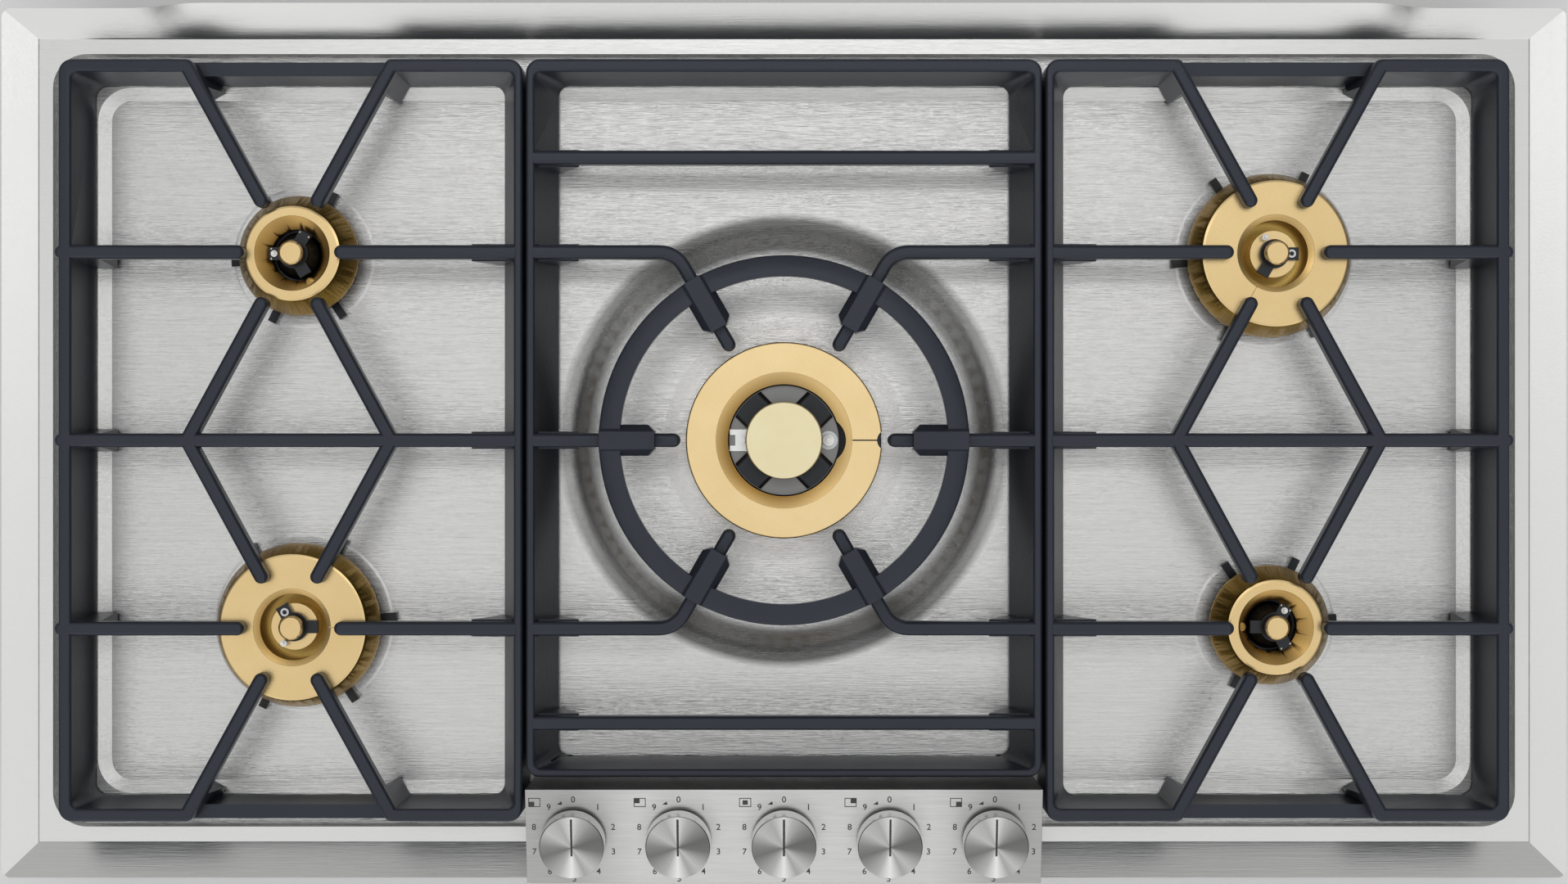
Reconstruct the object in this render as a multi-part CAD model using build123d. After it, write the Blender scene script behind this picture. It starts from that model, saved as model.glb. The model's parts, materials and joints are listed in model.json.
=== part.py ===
from build123d import *
import math
import os

# Five-burner gas cooktop for a worktop cut-out. Millimetres, +Z up, +X to the right, +Y to the rear.
# The origin is the middle of the underside, and every height is counted from there.

# --- overall ---
WORKTOP_Z = 58.0
RIM_WIDTH = 914.0
RIM_DEPTH = 508.0
RIM_CORNER_R = 5.0
RIM_EDGE_RISE = 14.0
RIM_CREASE_RISE = 2.0
SIDE_SLOPE_RUN = 18.0
FRONT_SLOPE_RUN = 18.9
REAR_SLOPE_RUN = 16.0
UPSTAND_RISE = 29.5
UPSTAND_HALF = 333.0
UPSTAND_RAMP = 53.0
SHEET = 1.2
SKIRT_LIFT = 0.6
SEAL_THICKNESS = 2.2
SEAL_WIDTH = 8.0
RIM_FLANGE = 11.0
SKY_RISE = 90.0

# --- well of the tray ---
SIDE_BAND = 8.0
FRONT_BAND = 8.8
REAR_BAND = 8.7
WELL_CORNER_R = 20.0
LEDGE_DROP = 9.5
LEDGE_SIDE = 23.0
LEDGE_ENDS = 18.0
FLOOR_DROP = 12.0
FLOOR_SLOPE_RUN = 7.5
DISH_DROP = 19.0
DISH_TOP_R = 131.0
DISH_FLOOR_R = 110.0
COLLAR_FOOT_R = 72.0
COLLAR_TOP_R = 64.0
COLLAR_RISE = 5.0
PAD_RISE = 1.0
PAD_BEVEL = 1.5

# --- grates ---
GRATE_TOP_RISE = 31.5
GRATE_BOTTOM_DROP = 8.0
GRATE_END_GAP = 7.8
GRATE_SIDE_GAP = 12.5
GRATE_GAP = 2.1
PANEL_TO_GRATE = 5.7
GRATE_CORNER_R = 8.0
RAIL_TOP = 7.4
RAIL_DRAFT = 2.1
RAIL_ROUND = 1.8
RAIL_CUT = 12.0
JOINT_RAIL_TOP = 4.6
JOINT_RAIL_DRAFT = 10.4
FRONT_RAIL_TOP = 4.6
LOW_RAIL_RISE = 18.5
FINGER_WIDTH = 8.0
FINGER_DEPTH = 9.0
FINGER_TOP_R = 2.4
FINGER_OVERHANG = 2.6
TIP_R = 26.0
DIAGONAL_TIP_R = 30.0
DIAGONAL_SPREAD = 59.0
BAR_SPACING = 54.55
GUSSET_LENGTH = 15.0
GUSSET_FLARE = 2.7
GUSSET_LAP = 2.0
RAIL_MOUTH_TOP_R = 4.0
RAIL_MOUTH_LOW_R = 7.0
GRATE_PAD_WIDTH = 9.0
GRATE_PAD_DEPTH = 7.0
GRATE_PAD_INSET = 18.0
RUNNING_GAP = 0.3

# --- wok ring ---
WOK_TIP_R = 60.0
WOK_BEND_R = 16.0
WOK_RING_OUTER_R = 106.0
WOK_RING_WIDTH = 12.0
WOK_RING_CLEAR = 2.6
WOK_RING_THICKNESS = 7.0
SADDLE_LENGTH = 32.0
SADDLE_TOP_WIDTH = 10.0
SADDLE_WIDTH = 18.0
SADDLE_RISE = 11.5
SADDLE_SHOULDER = 5.5
SADDLE_SKIRT = 6.5
SADDLE_SLACK = 0.4

# --- burners ---
BURNER_OFF_MIDDLE_X = 1.0
BURNER_OFF_MIDDLE_Y = 1.3
SIDE_SEAT_RISE = 1.0
LARGE_R = 48.2
LARGE_TOP_R = 41.3
LARGE_LIP_R = 22.6
LARGE_BORE_R = 19.5
LARGE_BOWL = 4.0
LARGE_PAD_MARGIN = 5.0
SMALL_R = 35.2
SMALL_TOP_R = 26.4
SMALL_LIP_R = 21.9
SMALL_BORE_R = 15.0
SMALL_BOWL = 13.0
SMALL_PAD_MARGIN = 7.0
SIDE_TOP_RISE = 21.7
RING_WALL = 3.5
RING_CHAMFER = 1.2
RING_FOOT_BEVEL = 0.8
RING_FOOT = 3.0
PORT_WIDTH = 1.8
PORT_HEIGHT = 2.4
PORT_SPACING = 8.0
SLIT_WIDTH = 0.6
SLIT_DEPTH = 2.0
SLIT_LENGTH = 7.0
STUD_R = 2.7
STUD_PLACE = 19.0
CUP_POT_R = 20.0
CUP_FOOT_R = 6.0
CUP_BOTTOM_DROP = 48.0
CUP_WALL = 4.0
CUP_BORE_R = 11.0
MOUTH_DEPTH = 6.0
NECK_R = 12.2
LUG_REACH = 8.5
LUG_WIDTH = 5.0
LUG_HEIGHT = 3.0
LUG_TURN = 4.0
TUBE_R = 4.0
TUBE_DROP = 38.0
TUBE_PLUG_IN = 6.0
TUBE_LEAD = 34.0
TUBE_TURN_SHARE = 0.35
TUBE_BENDS = [9.0, 14.0, 16.0]
BOSS_R = 7.0
BOSS_LENGTH = 8.0
CAP_R = 7.1
CAP_TOP_RISE = 26.5
CAP_THICKNESS = 4.0
CAP_BEVEL = 1.1
CAP_NECK_IN = 1.6
STEM_R = 3.8
BRIDGE_TOP_RISE = 18.0
BRIDGE_THICKNESS = 3.5
BRIDGE_ARM_WIDTH = 7.4
BRIDGE_ARM_REACH = 14.1
ARM_TURN = 120.0
BRIDGE_HUB_R = 8.5
INNER_RING_R = 13.6
PIN_R = 1.9
PIN_REACH = 11.0
PIN_PROUD = 3.5
PIN_TIP = 2.2
WOK_PIN_R = 3.3
WOK_PIN_REACH = 26.0
WOK_PIN_HEIGHT = 9.0
INJECTOR_R = 5.0
INJECTOR_HEIGHT = 12.0

# --- wok burner ---
WOK_SEAT_RISE = 4.0
WOK_BURNER_R = 56.9
WOK_LIP_R = 39.5
WOK_BORE_R = 32.7
WOK_TOP_RISE = 25.0
WOK_BOWL = 8.0
WOK_RING_WALL = 6.0
WOK_POCKET_R = 14.0
WOK_POCKET_DEPTH = 3.3
WOK_CUP_R = 52.0
WOK_POT_R = 30.0
WOK_PLATE_R = 32.0
WOK_PLATE_RISE = 10.0
WOK_PLATE_THICKNESS = 1.5
WOK_ARM_WIDTH = 21.0
WOK_ARM_HEIGHT = 4.5
WOK_ARM_ROUND = 3.6
WOK_CAP_R = 22.3
WOK_CAP_TOP_RISE = 30.0
WOK_CAP_THICKNESS = 6.0
WOK_CAP_BEVEL = 0.6
WOK_CAP_SOCKET_R = 7.6
WOK_CENTRE_HOLE_R = 8.0
WOK_NOTCH_R = 6.0
WOK_NOTCH_DEPTH = 3.0
WOK_SLIT = 0.8
WOK_SLIT_DEPTH = 2.0
SENSOR_INNER = 21.5
SENSOR_OUTER = 31.7
SENSOR_HALF_WIDTH = 6.3
SENSOR_SLOT = 28.5
SENSOR_SHEET = 1.2
SENSOR_SCREW_X = 24.8
SENSOR_SCREW_R = 2.2
SENSOR_SCREW = 1.4

# --- control panel ---
PANEL_WIDTH = 296.4
PANEL_DEPTH = 55.5
PANEL_MARGIN = 0.6
PANEL_REAR_RISE = 40.0
PANEL_FRONT_RISE = 30.0
KNOB_PITCH = 60.4
KNOB_SETBACK = 26.3
KNOB_R = 18.5
KNOB_GAP = 3.3
KNOB_HEIGHT = 11.0
KNOB_WALL = 1.7
KNOB_TOP = 3.0
KNOB_BEVEL = 0.5
KNOB_BOSS_WALL = 3.0
KNOB_BOSS_LIFT = 0.7
KNOB_SOCKET_DEPTH = 1.5
KNOB_FIT = 0.02
POINTER_WIDTH = 1.0
POINTER_DEPTH = 0.5
POINTER_PAST_CENTRE = 5.0
POINTER_MARGIN = 1.6
PRESS_TRAVEL = 3.0
SPINDLE_R = 4.0
SPINDLE_FLAT = 3.0
SPINDLE_CLEARANCE = 0.35
FIT = 0.05
BUSH_R = 7.9
BUSH_FLANGE_R = 10.0
BUSH_PROUD = 0.6
BUSH_DEPTH = 4.0
APERTURE_SIDE = 11.2
APERTURE_REAR = 6.5
APERTURE_FRONT = 10.0

# --- taps and gas train ---
TAP_TOP_DEPTH = 16.0
TAP_BOTTOM_DEPTH = 49.0
TAP_R = 11.0
PLUG_R = 6.25
PLUG_LENGTH = 23.0
TAP_COVER = 2.0
TAP_FOOT = 8.0
MANIFOLD_SIDE = 14.0
MANIFOLD_WALL = 1.5
MANIFOLD_SHIFT = -6.0
MANIFOLD_OVERRUN = 13.0
LEG_X = 90.6
LEG_SHEET = 2.0
LEG_FOOT = 14.0
LEG_DEPTH = 10.0
OUTLET_SHIFT = 7.0
OUTLET_R = 5.4
OUTLET_LENGTH = 8.0
FEED_R = 6.0
INLET_R = 10.48
INLET_LENGTH = 18.0
INLET_HEX = 10.0
INLET_HEX_R = 14.0
INLET_SHOULDER = 1.5
INLET_COLLAR_R = 11.6
INLET_COLLAR = 3.0
FEED_PLUG_IN = 8.0
FEED_LEAD = 22.0
FEED_SLANT = 30.0
FEED_BENDS = [10.0, 10.0, 30.0]
STRIP_THICKNESS = 1.6
STRIP_WIDTH = 18.0
SWITCH_WIDTH = 8.0
SWITCH_FRONT = 5.5
SWITCH_HEIGHT = 7.0

# --- casing ---
CASING_SIDE_GAP = 0.8
CASING_END_GAP = 6.0
CASING_FORWARD = 1.0
CASING_CORNER_R = 6.0
CASING_WALL = 1.0
CASING_LAP = 1.7
NOTCH_WIDTH = 78.0
NOTCH_DEPTH = 52.0
DIMPLE_R = 10.0
DIMPLE_HEIGHT = 2.0
SCREW_R = 2.0
SCREW_HEAD_R = 3.8
SCREW_HEAD = 1.6
SCREW_LENGTH = 9.0
CLAMP_SCREW_HEAD = 3.0
CLAMP_SCREW_DROP = 6.0
CLAMP_Y = 150.0
CLAMP_WIDTH = 24.0
CLAMP_REACH = 19.0
CLAMP_SHEET = 1.5
CLAMP_LOW_Z = 10.0
CLAMP_HIGH_Z = 42.0
WORKTOP_THICKNESS = 30.0

# --- connections and electrics ---
GLAND_R = 6.0
GLAND_BORE_R = 3.6
GLAND_LENGTH = 12.0
GLAND_FROM_CORNER = 12.0
GLAND_HEAD = 4.0
GLAND_HEAD_OUT = 3.0
GLAND_NUT_START = 3.2
GLAND_NUT_END = 6.0
GLAND_NUT_OUT = 2.5
TERMINAL_WIDTH = 30.0
TERMINAL_DEPTH = 46.0
TERMINAL_HEIGHT = 28.0
TERMINAL_WALL = 2.0
TERMINAL_FLOOR = 6.0
TERMINAL_TO_WALL = 12.0
MODULE_WIDTH = 84.0
MODULE_DEPTH = 44.0
MODULE_HEIGHT = 26.0
MODULE_CORNER_R = 4.0
MODULE_FROM_REAR = 43.5
MODULE_FROM_GLAND = 218.0
MODULE_STUB_R = 4.0
MODULE_STUB = 7.0
MODULE_STUB_PITCH = 16.0
MODULE_STUB_SHIFT = 8.0

# --- places worked out from the sizes above ---
EDGE_Z = WORKTOP_Z + RIM_EDGE_RISE
CREASE_Z = WORKTOP_Z + RIM_CREASE_RISE
UPSTAND_Z = WORKTOP_Z + UPSTAND_RISE
LEDGE_Z = WORKTOP_Z - LEDGE_DROP
FLOOR_Z = WORKTOP_Z - FLOOR_DROP
DISH_Z = WORKTOP_Z - DISH_DROP
COLLAR_Z = DISH_Z + COLLAR_RISE
GRATE_TOP_Z = WORKTOP_Z + GRATE_TOP_RISE
GRATE_BOTTOM_Z = WORKTOP_Z - GRATE_BOTTOM_DROP
FINGER_LOW_Z = GRATE_TOP_Z - FINGER_DEPTH
SKY_Z = WORKTOP_Z + SKY_RISE
HALF_WIDTH = RIM_WIDTH / 2
HALF_DEPTH = RIM_DEPTH / 2
WELL_WIDTH = RIM_WIDTH - 2 * (SIDE_SLOPE_RUN + SIDE_BAND)
WELL_FRONT_Y = -HALF_DEPTH + FRONT_SLOPE_RUN + FRONT_BAND
WELL_REAR_Y = HALF_DEPTH - REAR_SLOPE_RUN - REAR_BAND
WELL_DEPTH = WELL_REAR_Y - WELL_FRONT_Y
LAYOUT_Y = (WELL_REAR_Y + WELL_FRONT_Y) / 2
PANEL_REAR_Y = -HALF_DEPTH + PANEL_DEPTH
KNOB_Y = -HALF_DEPTH + KNOB_SETBACK
CENTRE_GRATE_WIDTH = PANEL_WIDTH + 2 * PANEL_MARGIN
CENTRE_GRATE_FRONT = PANEL_REAR_Y + PANEL_TO_GRATE
SIDE_GRATE_X = CENTRE_GRATE_WIDTH / 2 + GRATE_GAP
SIDE_GRATE_WIDTH = WELL_WIDTH / 2 - GRATE_SIDE_GAP - SIDE_GRATE_X
GRATE_DEPTH = WELL_DEPTH - 2 * GRATE_END_GAP
BURNER_X = SIDE_GRATE_X + SIDE_GRATE_WIDTH / 2 + BURNER_OFF_MIDDLE_X
ROW_Y = GRATE_DEPTH / 4 - BURNER_OFF_MIDDLE_Y
BAR_OFFSET_Y = ROW_Y + BAR_SPACING
WOK_RING_INNER_R = WOK_RING_OUTER_R - WOK_RING_WIDTH
SADDLE_INNER_R = WOK_RING_OUTER_R - SADDLE_LENGTH
CASING_WIDTH = WELL_WIDTH + 2 * (SHEET + CASING_SIDE_GAP + CASING_WALL)
CASING_DEPTH = WELL_DEPTH + 2 * (SHEET + CASING_END_GAP + CASING_WALL)
CASING_SHIFT_Y = LAYOUT_Y - CASING_FORWARD
CASING_REAR_Y = CASING_SHIFT_Y + CASING_DEPTH / 2
APERTURE_HALF = PANEL_WIDTH / 2 - APERTURE_SIDE
APERTURE_FRONT_Y = -HALF_DEPTH + APERTURE_FRONT
APERTURE_REAR_Y = PANEL_REAR_Y - APERTURE_REAR
PANEL_TILT = math.atan2(PANEL_REAR_RISE - PANEL_FRONT_RISE, PANEL_REAR_Y + HALF_DEPTH)
KNOB_RISE = PANEL_FRONT_RISE + (KNOB_Y + HALF_DEPTH) * math.tan(PANEL_TILT)
PANEL_NORMAL = (0, -math.sin(PANEL_TILT), math.cos(PANEL_TILT))
KNOB_X = [KNOB_PITCH * place for place in (-2, -1, 0, 1, 2)]
SIDE_BURNERS = {
    "left_front": (-BURNER_X, LAYOUT_Y - ROW_Y, "large"),
    "left_rear": (-BURNER_X, LAYOUT_Y + ROW_Y, "small"),
    "right_rear": (BURNER_X, LAYOUT_Y + ROW_Y, "large"),
    "right_front": (BURNER_X, LAYOUT_Y - ROW_Y, "small"),
}
PIN_ANGLES = {"left_front": 240.0, "left_rear": 180.0, "right_rear": 120.0, "right_front": 60.0}


# --- small helpers ---
def block(x0, x1, y0, y1, z0, z1):
    """A box between two corners."""
    middle = Pos((x0 + x1) / 2, (y0 + y1) / 2, (z0 + z1) / 2)
    return middle * Box(x1 - x0, y1 - y0, z1 - z0)


def rounded_block(width, depth, radius, z0, z1, x=0, y=0):
    """An upright prism with rounded corners, centred on x, y."""
    return Pos(x, y, z0) * extrude(RectangleRounded(width, depth, radius), amount=z1 - z0)


def drum(radius, z0, z1, x=0, y=0):
    """An upright cylinder."""
    return Pos(x, y, (z0 + z1) / 2) * Cylinder(radius, z1 - z0)


def turned(*outline):
    """A solid of revolution about Z from (radius, height) points."""
    return revolve(Plane.XZ * Polygon(*outline, align=None), Axis.Z)


def joined(pieces):
    """All the pieces fused into one solid."""
    return Part() + list(pieces)


# --- tray ---
def rear_slope_face(y, side_z, middle_z, low_z):
    """Upright face across the rear rim, whose top edge steps up along two S-curves."""
    ramp_end = UPSTAND_HALF + UPSTAND_RAMP
    ramp_middle = UPSTAND_HALF + UPSTAND_RAMP / 2

    def ramp(sign):
        return Bezier(
            (sign * ramp_end, y, side_z),
            (sign * ramp_middle, y, side_z),
            (sign * ramp_middle, y, middle_z),
            (sign * UPSTAND_HALF, y, middle_z),
        )

    outline = [
        Line((-HALF_WIDTH, y, low_z), (HALF_WIDTH, y, low_z)),
        Line((HALF_WIDTH, y, low_z), (HALF_WIDTH, y, side_z)),
        Line((HALF_WIDTH, y, side_z), (ramp_end, y, side_z)),
        ramp(1),
        Line((UPSTAND_HALF, y, middle_z), (-UPSTAND_HALF, y, middle_z)),
        ramp(-1),
        Line((-ramp_end, y, side_z), (-HALF_WIDTH, y, side_z)),
        Line((-HALF_WIDTH, y, side_z), (-HALF_WIDTH, y, low_z)),
    ]
    return make_face(Wire(outline))


def rim_slopes():
    """Solid under the four slopes that rise from the crease to the outer edge."""
    low_z = WORKTOP_Z - 1
    side_x = HALF_WIDTH - SIDE_SLOPE_RUN
    side = Polygon(
        (side_x, low_z), (HALF_WIDTH, low_z), (HALF_WIDTH, EDGE_Z), (side_x, CREASE_Z), align=None
    )
    right = Pos(0, HALF_DEPTH, 0) * extrude(Plane.XZ * side, amount=RIM_DEPTH)
    front_y = -HALF_DEPTH + FRONT_SLOPE_RUN
    front = Polygon(
        (-HALF_DEPTH, low_z), (front_y, low_z), (front_y, CREASE_Z), (-HALF_DEPTH, EDGE_Z), align=None
    )
    front = Pos(-HALF_WIDTH, 0, 0) * extrude(Plane.YZ * front, amount=RIM_WIDTH)
    rear_y = HALF_DEPTH - REAR_SLOPE_RUN
    crease = rear_slope_face(rear_y, CREASE_Z, CREASE_Z, low_z)
    edge = rear_slope_face(HALF_DEPTH, EDGE_Z, UPSTAND_Z, low_z)
    rear = loft([crease, edge], ruled=True)
    return right, mirror(right, about=Plane.YZ), front, rear


def rim_body(drop, inset, low_z, air):
    """The rim as a filled body, its top lowered by drop and its sides moved in by inset."""
    body = rounded_block(
        RIM_WIDTH - 2 * inset, RIM_DEPTH - 2 * inset, RIM_CORNER_R - inset, low_z, SKY_Z
    )
    return body - Pos(0, 0, -drop) * air


def dish_air(low_z, high_z):
    """Air inside the wok dish, whose wall is a soft S-curve from its floor up to the well's."""
    middle = (DISH_FLOOR_R + DISH_TOP_R) / 2
    top_z = FLOOR_Z + SHEET
    outline = [
        Line((0, 0, low_z), (DISH_FLOOR_R, 0, low_z)),
        Bezier(
            (DISH_FLOOR_R, 0, low_z), (middle, 0, low_z), (middle, 0, high_z), (DISH_TOP_R, 0, high_z)
        ),
        Line((DISH_TOP_R, 0, high_z), (DISH_TOP_R, 0, top_z)),
        Line((DISH_TOP_R, 0, top_z), (0, 0, top_z)),
        Line((0, 0, top_z), (0, 0, low_z)),
    ]
    return revolve(make_face(Wire(outline)), Axis.Z)


def well_air(grow):
    """Air inside the well, grown by the sheet thickness when grow is SHEET."""
    air = rounded_block(
        WELL_WIDTH + 2 * grow, WELL_DEPTH + 2 * grow, WELL_CORNER_R + grow,
        LEDGE_Z - grow, CREASE_Z, y=LAYOUT_Y,
    )
    ledge_width = WELL_WIDTH - 2 * LEDGE_SIDE
    ledge_depth = WELL_DEPTH - 2 * LEDGE_ENDS
    upper = RectangleRounded(ledge_width, ledge_depth, WELL_CORNER_R)
    lower = RectangleRounded(
        ledge_width - 2 * FLOOR_SLOPE_RUN, ledge_depth - 2 * FLOOR_SLOPE_RUN,
        WELL_CORNER_R - FLOOR_SLOPE_RUN,
    )
    air += loft(
        [
            Pos(0, LAYOUT_Y, FLOOR_Z - grow) * lower,
            Pos(0, LAYOUT_Y, LEDGE_Z - grow) * upper,
        ],
        ruled=True,
    )
    air += Pos(0, LAYOUT_Y, 0) * dish_air(DISH_Z - grow, FLOOR_Z - grow)
    collar = turned(
        (0, DISH_Z - grow), (COLLAR_FOOT_R - grow, DISH_Z - grow),
        (COLLAR_TOP_R - grow, COLLAR_Z - grow), (0, COLLAR_Z - grow),
    )
    air -= Pos(0, LAYOUT_Y, 0) * collar
    for x, y, size in SIDE_BURNERS.values():
        radius = burner_sizes(size)["pad"] - grow
        pad = turned(
            (0, FLOOR_Z - grow), (radius, FLOOR_Z - grow),
            (radius - PAD_BEVEL, FLOOR_Z + PAD_RISE - grow), (0, FLOOR_Z + PAD_RISE - grow),
        )
        air -= Pos(x, y, 0) * pad
    return air


def rim_air():
    """Air above the slopes of the rim, up to well over the object."""
    sky = block(-HALF_WIDTH - 1, HALF_WIDTH + 1, -HALF_DEPTH - 1, HALF_DEPTH + 1, CREASE_Z, SKY_Z)
    for slope in rim_slopes():
        sky -= slope
    return sky


def top_tray():
    """Pressed stainless tray: rim, band, well, wok dish, burner pads and the holes."""
    air = rim_air()
    low_z = WORKTOP_Z + SKIRT_LIFT
    tray = rim_body(0, 0, low_z, air) - rim_body(SHEET, SHEET, low_z - 1, air)
    tray -= rounded_block(
        WELL_WIDTH, WELL_DEPTH, WELL_CORNER_R, WORKTOP_Z - 1, SKY_Z, y=LAYOUT_Y
    )
    flange_z = WORKTOP_Z + SEAL_THICKNESS
    flange = rounded_block(
        RIM_WIDTH - SHEET, RIM_DEPTH - SHEET, RIM_CORNER_R, flange_z, flange_z + SHEET
    )
    flange -= rounded_block(
        RIM_WIDTH - 2 * (SHEET + RIM_FLANGE), RIM_DEPTH - 2 * (SHEET + RIM_FLANGE),
        RIM_CORNER_R, flange_z - 1, flange_z + SHEET + 1,
    )
    tray += flange
    tray += well_air(SHEET) - well_air(0)
    for x, y, size in SIDE_BURNERS.values():
        tray -= drum(CUP_POT_R + RUNNING_GAP, FLOOR_Z - 5, FLOOR_Z + 5, x, y)
    tray -= drum(WOK_POT_R + RUNNING_GAP, DISH_Z - 5, COLLAR_Z + 5, 0, LAYOUT_Y)
    tray -= block(
        -APERTURE_HALF, APERTURE_HALF, APERTURE_FRONT_Y, APERTURE_REAR_Y,
        FLOOR_Z - 5, EDGE_Z + 5,
    )
    return tray


def rim_seal():
    """Foam seal that lies between the rim's flange and the worktop."""
    outer = RIM_WIDTH - 2 * SHEET - 2 * RUNNING_GAP
    outer_depth = RIM_DEPTH - 2 * SHEET - 2 * RUNNING_GAP
    top_z = WORKTOP_Z + SEAL_THICKNESS
    seal = rounded_block(outer, outer_depth, RIM_CORNER_R, WORKTOP_Z, top_z)
    return seal - rounded_block(
        outer - 2 * SEAL_WIDTH, outer_depth - 2 * SEAL_WIDTH, RIM_CORNER_R,
        WORKTOP_Z - 1, top_z + 1,
    )


# --- control panel, knobs and taps ---
def tap_place(x):
    """Frame of one tap: the point where its axis leaves the panel, with z out of the panel."""
    return Plane(
        origin=(x, KNOB_Y, WORKTOP_Z + KNOB_RISE), x_dir=(1, 0, 0), z_dir=PANEL_NORMAL
    ).location


def control_panel():
    """Bent hood with a sloping top that straddles the front of the tray."""
    half = PANEL_WIDTH / 2
    rear_z = WORKTOP_Z + PANEL_REAR_RISE
    front_z = WORKTOP_Z + PANEL_FRONT_RISE
    low_z = FLOOR_Z - 1

    def hood(wall):
        drop = wall / math.cos(PANEL_TILT)
        lean = wall * math.tan(PANEL_TILT)
        profile = Polygon(
            (PANEL_REAR_Y - wall, low_z), (PANEL_REAR_Y - wall, rear_z - drop - lean),
            (-HALF_DEPTH + wall, front_z - drop + lean), (-HALF_DEPTH + wall, low_z), align=None,
        )
        width = PANEL_WIDTH - 2 * wall
        return Pos(-width / 2, 0, 0) * extrude(Plane.YZ * profile, amount=width)

    panel = hood(0) - hood(SHEET)
    below = block(-half - 1, half + 1, -HALF_DEPTH - 1, PANEL_REAR_Y + 1, low_z - 5, CREASE_Z)
    below -= well_air(0)
    for slope in rim_slopes():
        below += slope & block(-half - 1, half + 1, -HALF_DEPTH, 0, low_z, EDGE_Z)
    panel -= Pos(0, 0, RUNNING_GAP) * below
    for x in KNOB_X:
        hole = drum(BUSH_R + FIT, -SHEET - 2, 2)
        panel -= tap_place(x) * hole
    return panel


def panel_bushes():
    """Plastic bushes that line the panel's holes."""
    bore = SPINDLE_R + SPINDLE_CLEARANCE
    bush = turned(
        (bore, BUSH_PROUD), (bore, -BUSH_DEPTH), (BUSH_FLANGE_R, -BUSH_DEPTH),
        (BUSH_FLANGE_R, -SHEET - FIT), (BUSH_R, -SHEET - FIT), (BUSH_R, BUSH_PROUD),
    )
    return Compound([tap_place(x) * bush for x in KNOB_X])


def knob():
    """Spun steel knob with a hollow underside, a boss for the spindle and a pointer groove."""
    top = KNOB_GAP + KNOB_HEIGHT
    roof = top - KNOB_TOP
    inside_r = KNOB_R - KNOB_WALL
    boss_r = SPINDLE_R + KNOB_BOSS_WALL
    boss_low = KNOB_GAP + KNOB_BOSS_LIFT
    socket_r = SPINDLE_R + KNOB_FIT
    socket_top = roof - KNOB_SOCKET_DEPTH
    body = turned(
        (0, top), (KNOB_R - KNOB_BEVEL, top), (KNOB_R, top - KNOB_BEVEL), (KNOB_R, KNOB_GAP),
        (inside_r, KNOB_GAP), (inside_r, roof), (boss_r, roof), (boss_r, boss_low),
        (socket_r, boss_low), (socket_r, socket_top), (0, socket_top),
    )
    half = POINTER_WIDTH / 2
    reach = KNOB_R - POINTER_MARGIN
    return body - block(-half, half, -POINTER_PAST_CENTRE, reach, top - POINTER_DEPTH, top + 1)


def spindle():
    """Steel spindle with a flat, from inside the knob down into the tap's plug."""
    top = KNOB_GAP + KNOB_HEIGHT - KNOB_TOP - KNOB_SOCKET_DEPTH
    bottom = -TAP_TOP_DEPTH - TAP_COVER - PLUG_LENGTH / 2
    flat_top = bottom + PLUG_LENGTH / 2 + PRESS_TRAVEL + 1
    rod = drum(SPINDLE_R, bottom, top)
    return rod - block(-SPINDLE_R, SPINDLE_R, SPINDLE_FLAT, SPINDLE_R + 1, bottom - 1, flat_top)


def tap_plug():
    """Brass plug that turns in the tap, with a socket for the spindle's flat end."""
    top = -TAP_TOP_DEPTH - TAP_COVER - FIT
    socket_end = top - PLUG_LENGTH / 2 - PRESS_TRAVEL - 1
    plug = drum(PLUG_R, top - PLUG_LENGTH, top)
    socket = drum(SPINDLE_R + FIT, socket_end, top + 1)
    socket -= block(-SPINDLE_R - 1, SPINDLE_R + 1, SPINDLE_FLAT + FIT, SPINDLE_R + 2, socket_end, top)
    return plug - socket


def tap_body():
    """Tap housing: barrel round the plug, cover with the spindle hole, outlet nipple."""
    barrel = drum(TAP_R, -TAP_BOTTOM_DEPTH, -TAP_TOP_DEPTH)
    barrel += block(
        -TAP_R, TAP_R, MANIFOLD_SHIFT - MANIFOLD_SIDE / 2, MANIFOLD_SHIFT + MANIFOLD_SIDE / 2,
        -TAP_BOTTOM_DEPTH, -TAP_BOTTOM_DEPTH + TAP_FOOT,
    )
    nipple_low = -TAP_BOTTOM_DEPTH - OUTLET_LENGTH
    barrel += drum(OUTLET_R, nipple_low, -TAP_BOTTOM_DEPTH, 0, OUTLET_SHIFT)
    barrel -= drum(TUBE_R + FIT, nipple_low - 1, nipple_low + TUBE_PLUG_IN, 0, OUTLET_SHIFT)
    cavity_top = -TAP_TOP_DEPTH - TAP_COVER
    barrel -= drum(PLUG_R + FIT, cavity_top - PLUG_LENGTH - 2 * FIT, cavity_top)
    return barrel - drum(SPINDLE_R + SPINDLE_CLEARANCE, cavity_top - 1, -TAP_TOP_DEPTH + 1)


def tap_bodies():
    """The five tap housings."""
    return Compound([tap_place(x) * tap_body() for x in KNOB_X])


def switch_strip():
    """Ignition switch strip lying on the taps, one small switch beside each spindle."""
    half = KNOB_X[-1] + TAP_R
    low = -TAP_TOP_DEPTH
    top = low + STRIP_THICKNESS
    strip = block(-half, half, -STRIP_WIDTH / 2, STRIP_WIDTH / 2, low, top)
    for x in KNOB_X:
        strip -= drum(SPINDLE_R + 1, low - 1, top + 1, x)
        left = x - SWITCH_WIDTH / 2
        strip += block(
            left, left + SWITCH_WIDTH, SWITCH_FRONT, STRIP_WIDTH / 2, top, low + SWITCH_HEIGHT
        )
    return tap_place(0) * strip


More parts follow.
